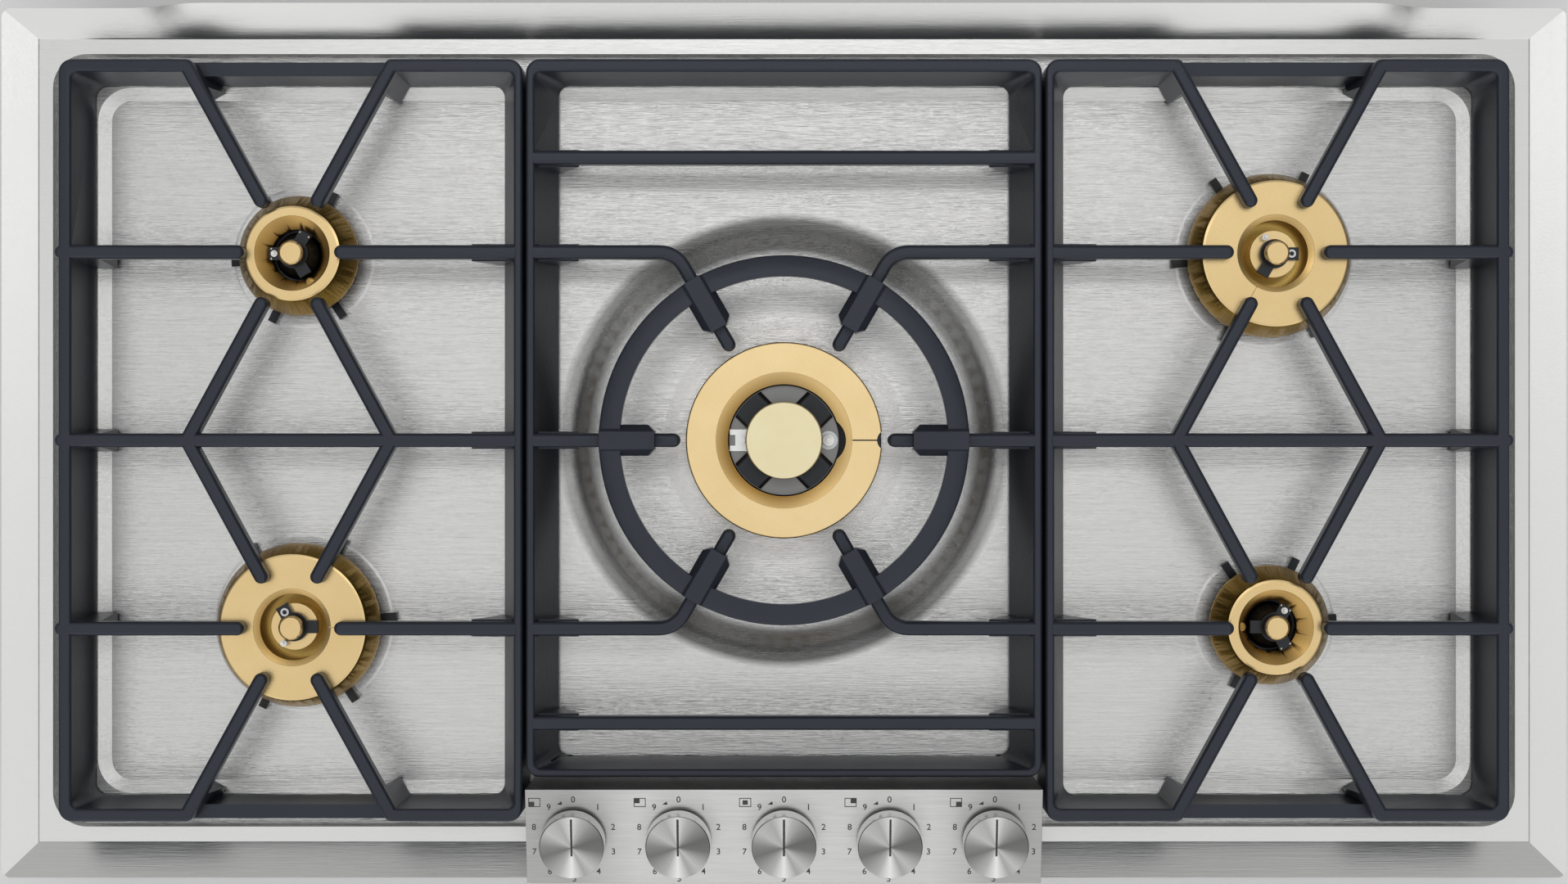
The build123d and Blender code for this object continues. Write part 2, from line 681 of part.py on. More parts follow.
def gas_manifold():
    """Square manifold tube under the taps, closed at both ends, with the feed pipe's socket."""
    half = KNOB_X[-1] + MANIFOLD_OVERRUN
    top = -TAP_BOTTOM_DEPTH
    low_y = MANIFOLD_SHIFT - MANIFOLD_SIDE / 2
    tube = block(-half, half, low_y, low_y + MANIFOLD_SIDE, top - MANIFOLD_SIDE, top)
    wall = MANIFOLD_WALL
    tube -= block(
        -half + wall, half - wall, low_y + wall, low_y + MANIFOLD_SIDE - wall,
        top - MANIFOLD_SIDE + wall, top - wall,
    )
    tube = tap_place(0) * tube
    foot_y = (tap_place(0) * Pos(0, MANIFOLD_SHIFT, top - MANIFOLD_SIDE / 2)).position.Y
    low_z = (tap_place(0) * Pos(0, low_y + MANIFOLD_SIDE, top - MANIFOLD_SIDE)).position.Z
    y0 = foot_y - LEG_DEPTH / 2
    y1 = foot_y + LEG_DEPTH / 2
    for side in (-1, 1):
        x0 = side * LEG_X - LEG_SHEET / 2
        leg = block(x0, x0 + LEG_SHEET, y0, y1, CASING_WALL, low_z + 1)
        leg += block(x0, x0 + LEG_FOOT, y0, y1, CASING_WALL, CASING_WALL + LEG_SHEET)
        tube += leg
    return tube


def pipe(radius, points, bends):
    """A round pipe along straight runs joined by arcs."""
    path = FilletPolyline(*points, radius=bends)
    start = Plane(origin=path @ 0, z_dir=path % 0)
    return sweep(start * Circle(radius), path=path)


def feed_route():
    """The feed pipe's corners, from the manifold's end to the inlet fitting."""
    start = tap_place(KNOB_X[-1] + MANIFOLD_OVERRUN) * Pos(
        0, MANIFOLD_SHIFT, -TAP_BOTTOM_DEPTH - MANIFOLD_SIDE / 2
    )
    x0, y0, z0 = start.position
    far_x = inlet_x()
    low_z = WORKTOP_Z - TUBE_DROP
    return [
        (x0, y0, z0), (x0 + FEED_LEAD, y0, z0), (x0 + FEED_LEAD + FEED_SLANT, y0, low_z),
        (far_x, y0, low_z), (far_x, inlet_wall_y() - INLET_HEX + FEED_PLUG_IN, low_z),
    ]


def inlet_x():
    """Across the cooktop, the middle of the notch in the casing."""
    return CASING_WIDTH / 2 - NOTCH_WIDTH / 2


def inlet_wall_y():
    """Inner face of the notch's wall, where the inlet fitting passes through."""
    return CASING_REAR_Y - NOTCH_DEPTH - CASING_WALL


def gas_feed():
    """Steel feed pipe from the inlet fitting to the manifold."""
    return pipe(FEED_R, feed_route(), FEED_BENDS)


def gas_inlet():
    """Inlet fitting: a hex body inside the casing and a pipe-threaded end in the notch."""
    z = WORKTOP_Z - TUBE_DROP
    wall_y = inlet_wall_y()
    end = INLET_HEX + CASING_WALL + INLET_LENGTH
    nut = extrude(RegularPolygon(INLET_HEX_R, 6, major_radius=True), amount=INLET_HEX)
    nut += drum(INLET_COLLAR_R, INLET_HEX, INLET_HEX + CASING_WALL + INLET_COLLAR)
    nut += drum(INLET_R, INLET_HEX, end)
    nut -= drum(FEED_R + FIT, -1, FEED_PLUG_IN)
    nut -= drum(FEED_R - INLET_SHOULDER, 0, end + 1)
    return Pos(inlet_x(), wall_y - INLET_HEX, z) * Rot(-90, 0, 0) * nut


def tube_start(x):
    """Where a supply tube starts inside a tap's nipple, and a point further along its axis."""
    inside = tap_place(x) * Pos(0, OUTLET_SHIFT, -TAP_BOTTOM_DEPTH - OUTLET_LENGTH + TUBE_PLUG_IN)
    below = tap_place(x) * Pos(0, OUTLET_SHIFT, -TAP_BOTTOM_DEPTH - OUTLET_LENGTH)
    start = inside.position
    step = below.position - start
    depth = start.Z - (WORKTOP_Z - TUBE_DROP)
    corner = start + step * (depth / -step.Z)
    return start, corner


def supply_tube(x, burner_x, burner_y):
    """Aluminium tube from one tap to the inner side of one side burner's cup."""
    start, corner = tube_start(x)
    side = -1 if burner_x < 0 else 1
    z = WORKTOP_Z - TUBE_DROP
    end_x = burner_x - side * (CUP_POT_R + BOSS_LENGTH - TUBE_PLUG_IN)
    lead_y = corner.Y + TUBE_LEAD
    turn_x = x + side * (abs(burner_x) - abs(x)) * TUBE_TURN_SHARE
    points = [tuple(start), tuple(corner), (x, lead_y, z), (turn_x, burner_y, z), (end_x, burner_y, z)]
    return pipe(TUBE_R, points, TUBE_BENDS)


def gas_tubes():
    """The five supply tubes."""
    order = ["left_front", "left_rear", None, "right_rear", "right_front"]
    tubes = []
    for x, name in zip(KNOB_X, order):
        if name:
            burner_x, burner_y, _ = SIDE_BURNERS[name]
            tubes.append(supply_tube(x, burner_x, burner_y))
    start, corner = tube_start(0)
    end_y = LAYOUT_Y - WOK_POT_R - BOSS_LENGTH + TUBE_PLUG_IN
    tubes.append(pipe(TUBE_R, [tuple(start), tuple(corner), (0, end_y, corner.Z)], TUBE_BENDS[:1]))
    return Compound(tubes)


# --- burners ---
def burner_sizes(size):
    """Radii of a side burner."""
    if size == "large":
        return {
            "outer": LARGE_R, "top": LARGE_TOP_R, "lip": LARGE_LIP_R, "bore": LARGE_BORE_R,
            "pad": LARGE_R + LARGE_PAD_MARGIN,
        }
    return {
        "outer": SMALL_R, "top": SMALL_TOP_R, "lip": SMALL_LIP_R, "bore": SMALL_BORE_R,
        "pad": SMALL_R + SMALL_PAD_MARGIN,
    }


def side_flame_ring(size):
    """Brass flame ring: sloping skirt, dished mouth, gas chamber, and a slit or a stud towards +X."""
    r = burner_sizes(size)
    seat = WORKTOP_Z + SIDE_SEAT_RISE
    top = WORKTOP_Z + SIDE_TOP_RISE
    bowl = top - (LARGE_BOWL if size == "large" else SMALL_BOWL)
    ring = turned(
        (r["outer"] - RING_FOOT_BEVEL, seat), (r["outer"], seat + 1), (r["outer"], seat + RING_FOOT),
        (r["top"] + RING_CHAMFER, top - RING_CHAMFER), (r["top"], top), (r["lip"], top),
        (r["bore"], bowl), (r["bore"], seat),
    )
    chamber_inner = r["bore"] + RING_WALL
    chamber_outer = r["outer"] - 2 * RING_WALL
    ceiling = top - RING_WALL if size == "large" else bowl - RING_WALL
    chamber = turned(
        (chamber_inner, seat - 1), (chamber_outer, seat - 1), (chamber_outer, seat + 4),
        (max(chamber_inner + 1, r["top"] - RING_WALL), ceiling), (chamber_inner, ceiling),
    )
    if size == "large":
        half = SLIT_WIDTH / 2
        ring -= block(r["bore"], r["lip"] + SLIT_LENGTH, -half, half, top - SLIT_DEPTH, top + 1)
    else:
        climb = (STUD_PLACE - r["bore"]) / (r["lip"] - r["bore"])
        ring += Pos(STUD_PLACE, 0, bowl + climb * (top - bowl)) * Sphere(STUD_R)
    return ring - chamber - flame_ports(chamber_outer, r["outer"], seat)


def flame_ports(inner_r, outer_r, seat):
    """Slots round a flame ring's foot, through which the gas leaves its chamber."""
    count = round(2 * math.pi * outer_r / PORT_SPACING)
    half = PORT_WIDTH / 2
    port = block(inner_r - 1, outer_r + 1, -half, half, seat - 1, seat + PORT_HEIGHT)
    return [Rot(0, 0, 360 * place / count) * port for place in range(count)]


def mouth_radius(size):
    """Radius of the cup's mouth where the flame ring stands."""
    return burner_sizes(size)["bore"] - 1


def on_mouth(radius, size):
    """Height on the conical mouth of a cup at the given radius."""
    share = (radius - CUP_BORE_R) / (mouth_radius(size) - CUP_BORE_R)
    return WORKTOP_Z + SIDE_SEAT_RISE - MOUTH_DEPTH * (1 - share)


def burner_cup(x, y, size):
    """Cast burner base on the tray floor, its pot hanging below, six lugs and a tube boss."""
    r = burner_sizes(size)
    seat = WORKTOP_Z + SIDE_SEAT_RISE
    pad = FLOOR_Z + PAD_RISE
    base_r = r["outer"] - RING_WALL
    pot_low = WORKTOP_Z - CUP_BOTTOM_DROP
    foot_low = CASING_WALL + DIMPLE_HEIGHT
    cup = turned(
        (0, foot_low), (CUP_FOOT_R, foot_low), (CUP_FOOT_R, pot_low), (CUP_POT_R, pot_low),
        (CUP_POT_R, pad), (base_r, pad), (base_r + 1, pad + 2), (base_r, seat),
        (mouth_radius(size), seat), (CUP_BORE_R, seat - MOUTH_DEPTH),
        (CUP_BORE_R, pot_low + CUP_WALL), (0, pot_low + CUP_WALL),
    )
    half = LUG_WIDTH / 2
    reach = r["outer"] + LUG_REACH - 1
    for turn in range(6):
        lug = block(base_r - 2, reach, -half, half, pad, pad + LUG_HEIGHT)
        cup += Rot(0, 0, 60 * turn + LUG_TURN) * lug
    side = 1 if x < 0 else -1
    tube_z = WORKTOP_Z - TUBE_DROP
    cup += tube_boss(CUP_POT_R, 90 * (1 - side), tube_z)
    cup -= drum(SCREW_R + FIT, foot_low - 1, foot_low + SCREW_LENGTH - 1)
    return Pos(x, y, 0) * cup


def tube_boss(pot_r, heading, z):
    """Boss on a pot, drilled for the end of its supply tube."""
    boss = Pos(pot_r - 3, 0, 0) * Rot(0, 90, 0) * Cylinder(
        BOSS_R, BOSS_LENGTH + 3, align=(Align.CENTER, Align.CENTER, Align.MIN)
    )
    boss -= Pos(pot_r + BOSS_LENGTH - TUBE_PLUG_IN, 0, 0) * Rot(0, 90, 0) * Cylinder(
        TUBE_R + FIT, BOSS_LENGTH, align=(Align.CENTER, Align.CENTER, Align.MIN)
    )
    return Pos(0, 0, z) * Rot(0, 0, heading) * boss


def inner_flame_ring():
    """Brass inner ring of a large burner, standing on the cup's mouth."""
    seat = on_mouth(CUP_BORE_R, "large")
    top = WORKTOP_Z + BRIDGE_TOP_RISE - BRIDGE_THICKNESS
    inside = CUP_BORE_R - 2.5
    return turned(
        (STEM_R + 0.4, top), (INNER_RING_R, top), (INNER_RING_R, top - 2), (NECK_R, top - 4),
        (NECK_R, on_mouth(NECK_R, "large")), (CUP_BORE_R, seat), (inside, seat),
        (inside, top - 3), (STEM_R + 0.4, top - 3),
    )


def burner_bridge(name, size):
    """Black bridge that carries the centre cap: two arms, and on a small burner a third and a foot."""
    r = burner_sizes(size)
    top = WORKTOP_Z + BRIDGE_TOP_RISE
    low = top - BRIDGE_THICKNESS
    hub = drum(BRIDGE_HUB_R, low, top)
    half = BRIDGE_ARM_WIDTH / 2
    reach = min(BRIDGE_ARM_REACH, r["bore"] - 3 * RUNNING_GAP)
    turns = (-ARM_TURN, ARM_TURN) if size == "large" else (-ARM_TURN, 0, ARM_TURN)
    for turn in turns:
        hub += Rot(0, 0, PIN_ANGLES[name] + turn) * block(0, reach, -half, half, low, top)
    if size == "small":
        hub += turned(
            (0, low), (BRIDGE_HUB_R - 1, low), (NECK_R, low - 8),
            (NECK_R, on_mouth(NECK_R, size)), (CUP_BORE_R, on_mouth(CUP_BORE_R, size)),
            (0, on_mouth(CUP_BORE_R, size)),
        )
        hub -= Rot(0, 0, PIN_ANGLES[name]) * drum(PIN_R + FIT, pin_base(size), top + 1, PIN_REACH)
    return hub - drum(STEM_R + RUNNING_GAP, low - 2, top + 1)


def pin_base(size):
    """Height of a spark pin's foot: on the inner ring, or let into the bridge's foot."""
    if size == "large":
        return WORKTOP_Z + BRIDGE_TOP_RISE - BRIDGE_THICKNESS
    return WORKTOP_Z + SIDE_SEAT_RISE + 3


def burner_cap():
    """Small brass centre cap with its stem."""
    top = WORKTOP_Z + CAP_TOP_RISE
    seat = WORKTOP_Z + BRIDGE_TOP_RISE + FIT
    return turned(
        (0, top), (CAP_R - CAP_BEVEL, top), (CAP_R, top - CAP_BEVEL), (CAP_R, top - CAP_THICKNESS),
        (CAP_R - CAP_NECK_IN, top - CAP_THICKNESS), (CAP_R - CAP_NECK_IN, seat), (STEM_R, seat),
        (STEM_R, seat - BRIDGE_THICKNESS - 1), (0, seat - BRIDGE_THICKNESS - 1),
    )


def wok_flame_ring():
    """Heavy brass ring of the wok burner, with its side pocket, slit and notch."""
    seat = WORKTOP_Z + WOK_SEAT_RISE
    top = WORKTOP_Z + WOK_TOP_RISE
    edge = WOK_BURNER_R - RING_FOOT_BEVEL
    bowl = top - WOK_BOWL
    ring = turned(
        (edge, seat), (WOK_BURNER_R, seat + 1), (WOK_BURNER_R, top - RING_FOOT_BEVEL), (edge, top),
        (WOK_LIP_R, top), (WOK_BORE_R, bowl), (WOK_BORE_R, seat),
    )
    chamber_inner = WOK_BORE_R + RING_WALL
    chamber_outer = WOK_BURNER_R - WOK_RING_WALL
    ring -= turned(
        (chamber_inner, seat - 1), (chamber_outer, seat - 1), (chamber_outer, bowl),
        (WOK_LIP_R + 3, bowl + 3), (chamber_inner, bowl - 5),
    )
    ring -= drum(WOK_POCKET_R, seat - 1, top + 1, WOK_BORE_R + WOK_POCKET_DEPTH - WOK_POCKET_R)
    ring -= drum(WOK_NOTCH_R, seat - 1, top + 1, WOK_BURNER_R + WOK_NOTCH_R - WOK_NOTCH_DEPTH)
    slit = WOK_SLIT / 2
    ring -= block(WOK_BORE_R, WOK_BURNER_R, -slit, slit, top - WOK_SLIT_DEPTH, top + 1)
    ring -= flame_ports(chamber_outer, WOK_BURNER_R, seat)
    return Pos(0, LAYOUT_Y, 0) * ring


def wok_burner_cup():
    """Cast base of the wok burner, standing on the collar of the dish."""
    seat = WORKTOP_Z + WOK_SEAT_RISE - FIT
    plate = WORKTOP_Z + WOK_PLATE_RISE
    foot_low = CASING_WALL + DIMPLE_HEIGHT
    pot_low = WORKTOP_Z - CUP_BOTTOM_DROP
    cup = turned(
        (0, foot_low), (CUP_FOOT_R, foot_low), (CUP_FOOT_R, pot_low), (WOK_POT_R, pot_low),
        (WOK_POT_R, COLLAR_Z), (WOK_CUP_R, COLLAR_Z), (WOK_CUP_R + 1, COLLAR_Z + 3),
        (WOK_CUP_R, seat), (WOK_BORE_R - 1.5, seat), (WOK_BORE_R - 1.5, plate),
        (CUP_BORE_R + 7, plate), (CUP_BORE_R, plate - 10), (CUP_BORE_R, pot_low + CUP_WALL),
        (0, pot_low + CUP_WALL),
    )
    cup += tube_boss(WOK_POT_R, -90, WORKTOP_Z - TUBE_DROP)
    cup -= drum(SCREW_R + FIT, foot_low - 1, foot_low + SCREW_LENGTH - 1)
    return Pos(0, LAYOUT_Y, 0) * cup


def wok_plate():
    """Steel plate that closes the wok burner inside its ring."""
    low = WORKTOP_Z + WOK_PLATE_RISE
    top = low + WOK_PLATE_THICKNESS
    plate = drum(WOK_PLATE_R, low, top) - drum(WOK_CENTRE_HOLE_R, low - 1, top + 1)
    return Pos(0, LAYOUT_Y, 0) * plate


def wok_bridge():
    """Black cross of four arms that carries the wok cap."""
    low = WORKTOP_Z + WOK_PLATE_RISE + WOK_PLATE_THICKNESS
    cross = drum(WOK_CAP_R - 4, low, low + WOK_ARM_HEIGHT)
    half = WOK_ARM_WIDTH / 2
    arm = block(0, WOK_PLATE_R, -half, half, low, low + WOK_ARM_HEIGHT)
    rims = arm.edges().filter_by(Axis.X).group_by(Axis.Z)[-1]
    arm = fillet(rims, WOK_ARM_ROUND)
    for turn in range(4):
        cross += Rot(0, 0, 45 + 90 * turn) * arm
    cross &= drum(WOK_PLATE_R - 0.5, low, low + WOK_ARM_HEIGHT)
    cross -= drum(WOK_CENTRE_HOLE_R, low - 1, low + WOK_ARM_HEIGHT + 1)
    return Pos(0, LAYOUT_Y, 0) * cross


def wok_cap():
    """Brass cap over the middle of the wok burner."""
    top = WORKTOP_Z + WOK_CAP_TOP_RISE
    seat = WORKTOP_Z + WOK_PLATE_RISE + WOK_PLATE_THICKNESS + WOK_ARM_HEIGHT + FIT
    low = top - WOK_CAP_THICKNESS
    cap = turned(
        (0, top), (WOK_CAP_R - WOK_CAP_BEVEL, top), (WOK_CAP_R, top - WOK_CAP_BEVEL),
        (WOK_CAP_R, low), (WOK_CAP_R - 6, low), (WOK_CAP_R - 8, low - 3), (WOK_CAP_R - 8, seat),
        (WOK_CAP_SOCKET_R, seat), (WOK_CAP_SOCKET_R, seat - 3), (0, seat - 3),
    )
    return Pos(0, LAYOUT_Y, 0) * cap


def cup_places():
    """Plan places of the five burner cups."""
    return [(x, y) for x, y, _ in SIDE_BURNERS.values()] + [(0, LAYOUT_Y)]


def injectors():
    """Brass gas injectors on the bottom of the five cups."""
    low = WORKTOP_Z - CUP_BOTTOM_DROP + CUP_WALL
    jet = turned(
        (0, low), (INJECTOR_R, low), (INJECTOR_R, low + 5), (INJECTOR_R - 1.2, low + 6),
        (INJECTOR_R - 1.2, low + INJECTOR_HEIGHT - 1.5), (INJECTOR_R - 2.5, low + INJECTOR_HEIGHT),
        (0, low + INJECTOR_HEIGHT),
    )
    return Compound([Pos(x, y, 0) * jet for x, y in cup_places()])


def pin(radius, low, high, tip):
    """A ceramic pin with a narrower metal tip."""
    return turned(
        (0, low), (radius, low), (radius, high - tip), (radius * 0.45, high - tip),
        (radius * 0.45, high), (0, high),
    )


def igniters():
    """Ceramic spark pins, one at each burner."""
    tip = WORKTOP_Z + BRIDGE_TOP_RISE + PIN_PROUD
    pins = []
    for name, (x, y, size) in SIDE_BURNERS.items():
        place = Pos(x, y, 0) * Rot(0, 0, PIN_ANGLES[name]) * Pos(PIN_REACH, 0, 0)
        pins.append(place * pin(PIN_R, pin_base(size), tip, PIN_TIP))
    plate = WORKTOP_Z + WOK_PLATE_RISE + WOK_PLATE_THICKNESS
    place = Pos(WOK_PIN_REACH, LAYOUT_Y, 0)
    pins.append(place * pin(WOK_PIN_R, plate, plate + WOK_PIN_HEIGHT, PIN_TIP))
    return Compound(pins)


def wok_flame_sensor():
    """Flame sensor of the wok burner: a forked steel bracket and its screw."""
    plate = WORKTOP_Z + WOK_PLATE_RISE + WOK_PLATE_THICKNESS
    top = plate + SENSOR_SHEET
    half = SENSOR_HALF_WIDTH
    bracket = block(-SENSOR_OUTER, -SENSOR_INNER, -half, half, plate, top)
    bracket -= block(-SENSOR_OUTER - 1, -SENSOR_SLOT, -half / 2, half / 2, plate - 1, top + 1)
    bracket += drum(SENSOR_SCREW_R, top, top + SENSOR_SCREW, -SENSOR_SCREW_X)
    return Pos(0, LAYOUT_Y, 0) * bracket


# --- grates ---
def finger(*points, rounded=(False, True)):
    """A grate bar along plan points, bent at a middle one; rounded is for its two ends."""
    path = Line(*points) if len(points) == 2 else FilletPolyline(*points, radius=WOK_BEND_R)
    outline = trace(path, FINGER_WIDTH)
    for point, is_round in zip((points[0], points[-1]), rounded):
        if is_round:
            outline += Pos(*point) * Circle(FINGER_WIDTH / 2)
    bar = extrude(Pos(0, 0, FINGER_LOW_Z) * outline, amount=FINGER_DEPTH)
    rims = bar.edges().group_by(Axis.Z)[-1]
    sides = rims.filter_by(lambda rim: abs(rim.length - FINGER_WIDTH) > RUNNING_GAP)
    return fillet(sides, FINGER_TOP_R)


def rail_frame(x0, x1, y0, y1, tops, drafts):
    """Four rails with sloping inner faces; tops and drafts are for left, right, front, rear."""
    outer = rounded_block(
        x1 - x0, y1 - y0, GRATE_CORNER_R, GRATE_BOTTOM_Z, GRATE_TOP_Z, (x0 + x1) / 2, (y0 + y1) / 2
    )

    def mouth(z, share, radius):
        left, right, front, rear = [top + share * draft for top, draft in zip(tops, drafts)]
        width = x1 - x0 - left - right
        depth = y1 - y0 - front - rear
        centre = Pos((x0 + left + x1 - right) / 2, (y0 + front + y1 - rear) / 2, z)
        return centre * RectangleRounded(width, depth, radius)

    low_mouth = mouth(GRATE_BOTTOM_Z, 1, RAIL_MOUTH_LOW_R)
    top_mouth = mouth(GRATE_TOP_Z, 0, RAIL_MOUTH_TOP_R)
    inner = loft([low_mouth, top_mouth], ruled=True)
    frame = outer - inner
    rims = frame.edges().filter_by_position(Axis.Z, GRATE_TOP_Z - 0.01, GRATE_TOP_Z + 0.01)
    return fillet(rims, RAIL_ROUND)


def foot(x, y, heading):
    """Gusset under a bar where it meets a rail: flares downwards, runs GUSSET_LENGTH inwards."""
    top_z = FINGER_LOW_Z + GUSSET_LAP
    upper = Pos(GUSSET_LENGTH / 2, 0, top_z) * Rectangle(GUSSET_LENGTH, FINGER_WIDTH)
    lower = Pos(GUSSET_LENGTH / 2, 0, GRATE_BOTTOM_Z) * Rectangle(
        GUSSET_LENGTH, FINGER_WIDTH + 2 * GUSSET_FLARE
    )
    return Pos(x, y, 0) * Rot(0, 0, heading) * loft([lower, upper], ruled=True)


def web(x, y, heading):
    """Triangular gusset under a bar at a joint rail."""
    top_z = FINGER_LOW_Z + GUSSET_LAP
    reach = JOINT_RAIL_DRAFT + GUSSET_LENGTH
    side = Polygon(
        (0, GRATE_BOTTOM_Z), (JOINT_RAIL_DRAFT, GRATE_BOTTOM_Z), (reach, top_z), (0, top_z),
        align=None,
    )
    half = FINGER_WIDTH / 2 + 1
    body = Pos(0, half, 0) * extrude(Plane.XZ * side, amount=2 * half)
    return Pos(x, y, 0) * Rot(0, 0, heading) * body


def side_grate():
    """Right-hand grate: frame, crossbar, and six fingers over each of its two burners."""
    x0 = SIDE_GRATE_X
    x1 = x0 + SIDE_GRATE_WIDTH
    y0 = LAYOUT_Y - GRATE_DEPTH / 2
    y1 = LAYOUT_Y + GRATE_DEPTH / 2
    frame = rail_frame(
        x0, x1, y0, y1, (JOINT_RAIL_TOP, RAIL_TOP, RAIL_TOP, RAIL_TOP),
        (JOINT_RAIL_DRAFT, RAIL_DRAFT, RAIL_DRAFT, RAIL_DRAFT),
    )
    dip = block(
        BURNER_X - DIAGONAL_SPREAD, BURNER_X + DIAGONAL_SPREAD, -RAIL_CUT, RAIL_CUT,
        WORKTOP_Z + LOW_RAIL_RISE, SKY_Z,
    )
    for y in (y0, y1):
        frame -= Pos(0, y, 0) * dip
    bars = []
    slack = FINGER_WIDTH / 2
    outer_end = x1 + FINGER_OVERHANG - slack
    for sign in (-1, 1):
        y = LAYOUT_Y + sign * ROW_Y
        bars.append(finger((x0 + slack, y), (BURNER_X - TIP_R - slack, y)))
        bars.append(
            finger((outer_end, y), (BURNER_X + TIP_R + slack, y), rounded=(True, True))
        )
        for side in (-1, 1):
            for end_y in (LAYOUT_Y, LAYOUT_Y + sign * (GRATE_DEPTH / 2 - slack)):
                on_rail = end_y != LAYOUT_Y
                start = Vector(BURNER_X + side * DIAGONAL_SPREAD, end_y)
                centre = Vector(BURNER_X, y)
                inward = (centre - start).normalized()
                end = centre - inward * (DIAGONAL_TIP_R + slack)
                bars.append(
                    finger((start.X, start.Y), (end.X, end.Y), rounded=(on_rail, True))
                )
                if on_rail:
                    heading = math.degrees(math.atan2(inward.Y, inward.X))
                    bars.append(foot(start.X, start.Y, heading))
    bars.append(finger((x0 + slack, LAYOUT_Y), (outer_end, LAYOUT_Y)))
    for y in (LAYOUT_Y - ROW_Y, LAYOUT_Y, LAYOUT_Y + ROW_Y):
        bars.append(foot(x1 - RAIL_TOP - RAIL_DRAFT + 2, y, 180))
        bars.append(web(x0 + JOINT_RAIL_TOP, y, 0))
    return joined([frame] + bars)


def wok_finger_points(quarter_x, quarter_y):
    """Plan points of one bent wok finger, from the side rail to its tip, in one quarter."""
    centre_y = LAYOUT_Y
    row = ROW_Y
    corner_x = row / math.tan(math.radians(60))
    tip = WOK_TIP_R + FINGER_WIDTH / 2
    tip_x = tip * math.cos(math.radians(60))
    tip_y = tip * math.sin(math.radians(60))
    rail_x = CENTRE_GRATE_WIDTH / 2 - FINGER_WIDTH / 2
    return [
        (quarter_x * rail_x, centre_y + quarter_y * row),
        (quarter_x * corner_x, centre_y + quarter_y * row),
        (quarter_x * tip_x, centre_y + quarter_y * tip_y),
    ]


def centre_grate():
    """Centre grate: frame, two crossbars and six fingers round the wok burner."""
    half = CENTRE_GRATE_WIDTH / 2
    frame = rail_frame(
        -half, half, CENTRE_GRATE_FRONT, LAYOUT_Y + GRATE_DEPTH / 2,
        (JOINT_RAIL_TOP, JOINT_RAIL_TOP, FRONT_RAIL_TOP, RAIL_TOP),
        (JOINT_RAIL_DRAFT, JOINT_RAIL_DRAFT, RAIL_DRAFT, RAIL_DRAFT),
    )
    bars = []
    end = half - FINGER_WIDTH / 2
    for sign in (-1, 1):
        y = LAYOUT_Y + sign * BAR_OFFSET_Y
        bars.append(finger((-end, y), (end, y), rounded=(False, False)))
        bars.append(web(-half + JOINT_RAIL_TOP, y, 0))
        bars.append(web(half - JOINT_RAIL_TOP, y, 180))
        tip_x = sign * (WOK_TIP_R + FINGER_WIDTH / 2)
        bars.append(finger((sign * end, LAYOUT_Y), (tip_x, LAYOUT_Y)))
        for side in (-1, 1):
            web_x = side * (half - JOINT_RAIL_TOP)
            bars.append(finger(*wok_finger_points(side, sign)))
            bars.append(web(web_x, LAYOUT_Y + sign * ROW_Y, 90 * (1 + side)))
        bars.append(web(sign * (half - JOINT_RAIL_TOP), LAYOUT_Y, 90 * (1 + sign)))
    return joined([frame] + bars)


def wok_ring():
    """Loose cast ring for a round-bottomed pan: band and six saddles over the fingers."""
    band_low = GRATE_TOP_Z + WOK_RING_CLEAR
    band_top = band_low + WOK_RING_THICKNESS
    ring = turned(
        (WOK_RING_INNER_R, band_low), (WOK_RING_OUTER_R, band_low),
        (WOK_RING_OUTER_R, band_top - 1.2), (WOK_RING_OUTER_R - 1.5, band_top - 0.4),
        (WOK_RING_INNER_R, band_top),
    )
    top = GRATE_TOP_Z + SADDLE_RISE
    low = GRATE_TOP_Z - SADDLE_SKIRT
    roof = GRATE_TOP_Z + RUNNING_GAP
    slot = FINGER_WIDTH / 2 + SADDLE_SLACK
    narrow = SADDLE_TOP_WIDTH / 2
    wide = SADDLE_WIDTH / 2
    half = [(slot, low), (wide, low), (wide, top - SADDLE_SHOULDER), (narrow, top)]
    outline = half + [(-u, z) for u, z in reversed(half)] + [(-slot, roof), (slot, roof)]
    saddle = Pos(SADDLE_INNER_R, 0, 0) * extrude(
        Plane.YZ * Polygon(*outline, align=None), amount=WOK_RING_OUTER_R - SADDLE_INNER_R
    )
    taper = wide - narrow
    plan = Polygon(
        (SADDLE_INNER_R, -narrow), (SADDLE_INNER_R + taper, -wide), (WOK_RING_OUTER_R - 2, -wide),
        (WOK_RING_OUTER_R, -narrow), (WOK_RING_OUTER_R, narrow), (WOK_RING_OUTER_R - 2, wide),
        (SADDLE_INNER_R + taper, wide), (SADDLE_INNER_R, narrow), align=None,
    )
    saddle &= Pos(0, 0, low - 1) * extrude(plan, amount=top - low + 2)
    passage = block(
        SADDLE_INNER_R - 1, WOK_RING_OUTER_R + 1, -slot, slot, low - 1, roof
    )
    for turn in range(6):
        ring += Rot(0, 0, 60 * turn) * saddle
    for turn in range(6):
        ring -= Rot(0, 0, 60 * turn) * passage
    return Pos(0, LAYOUT_Y, 0) * ring


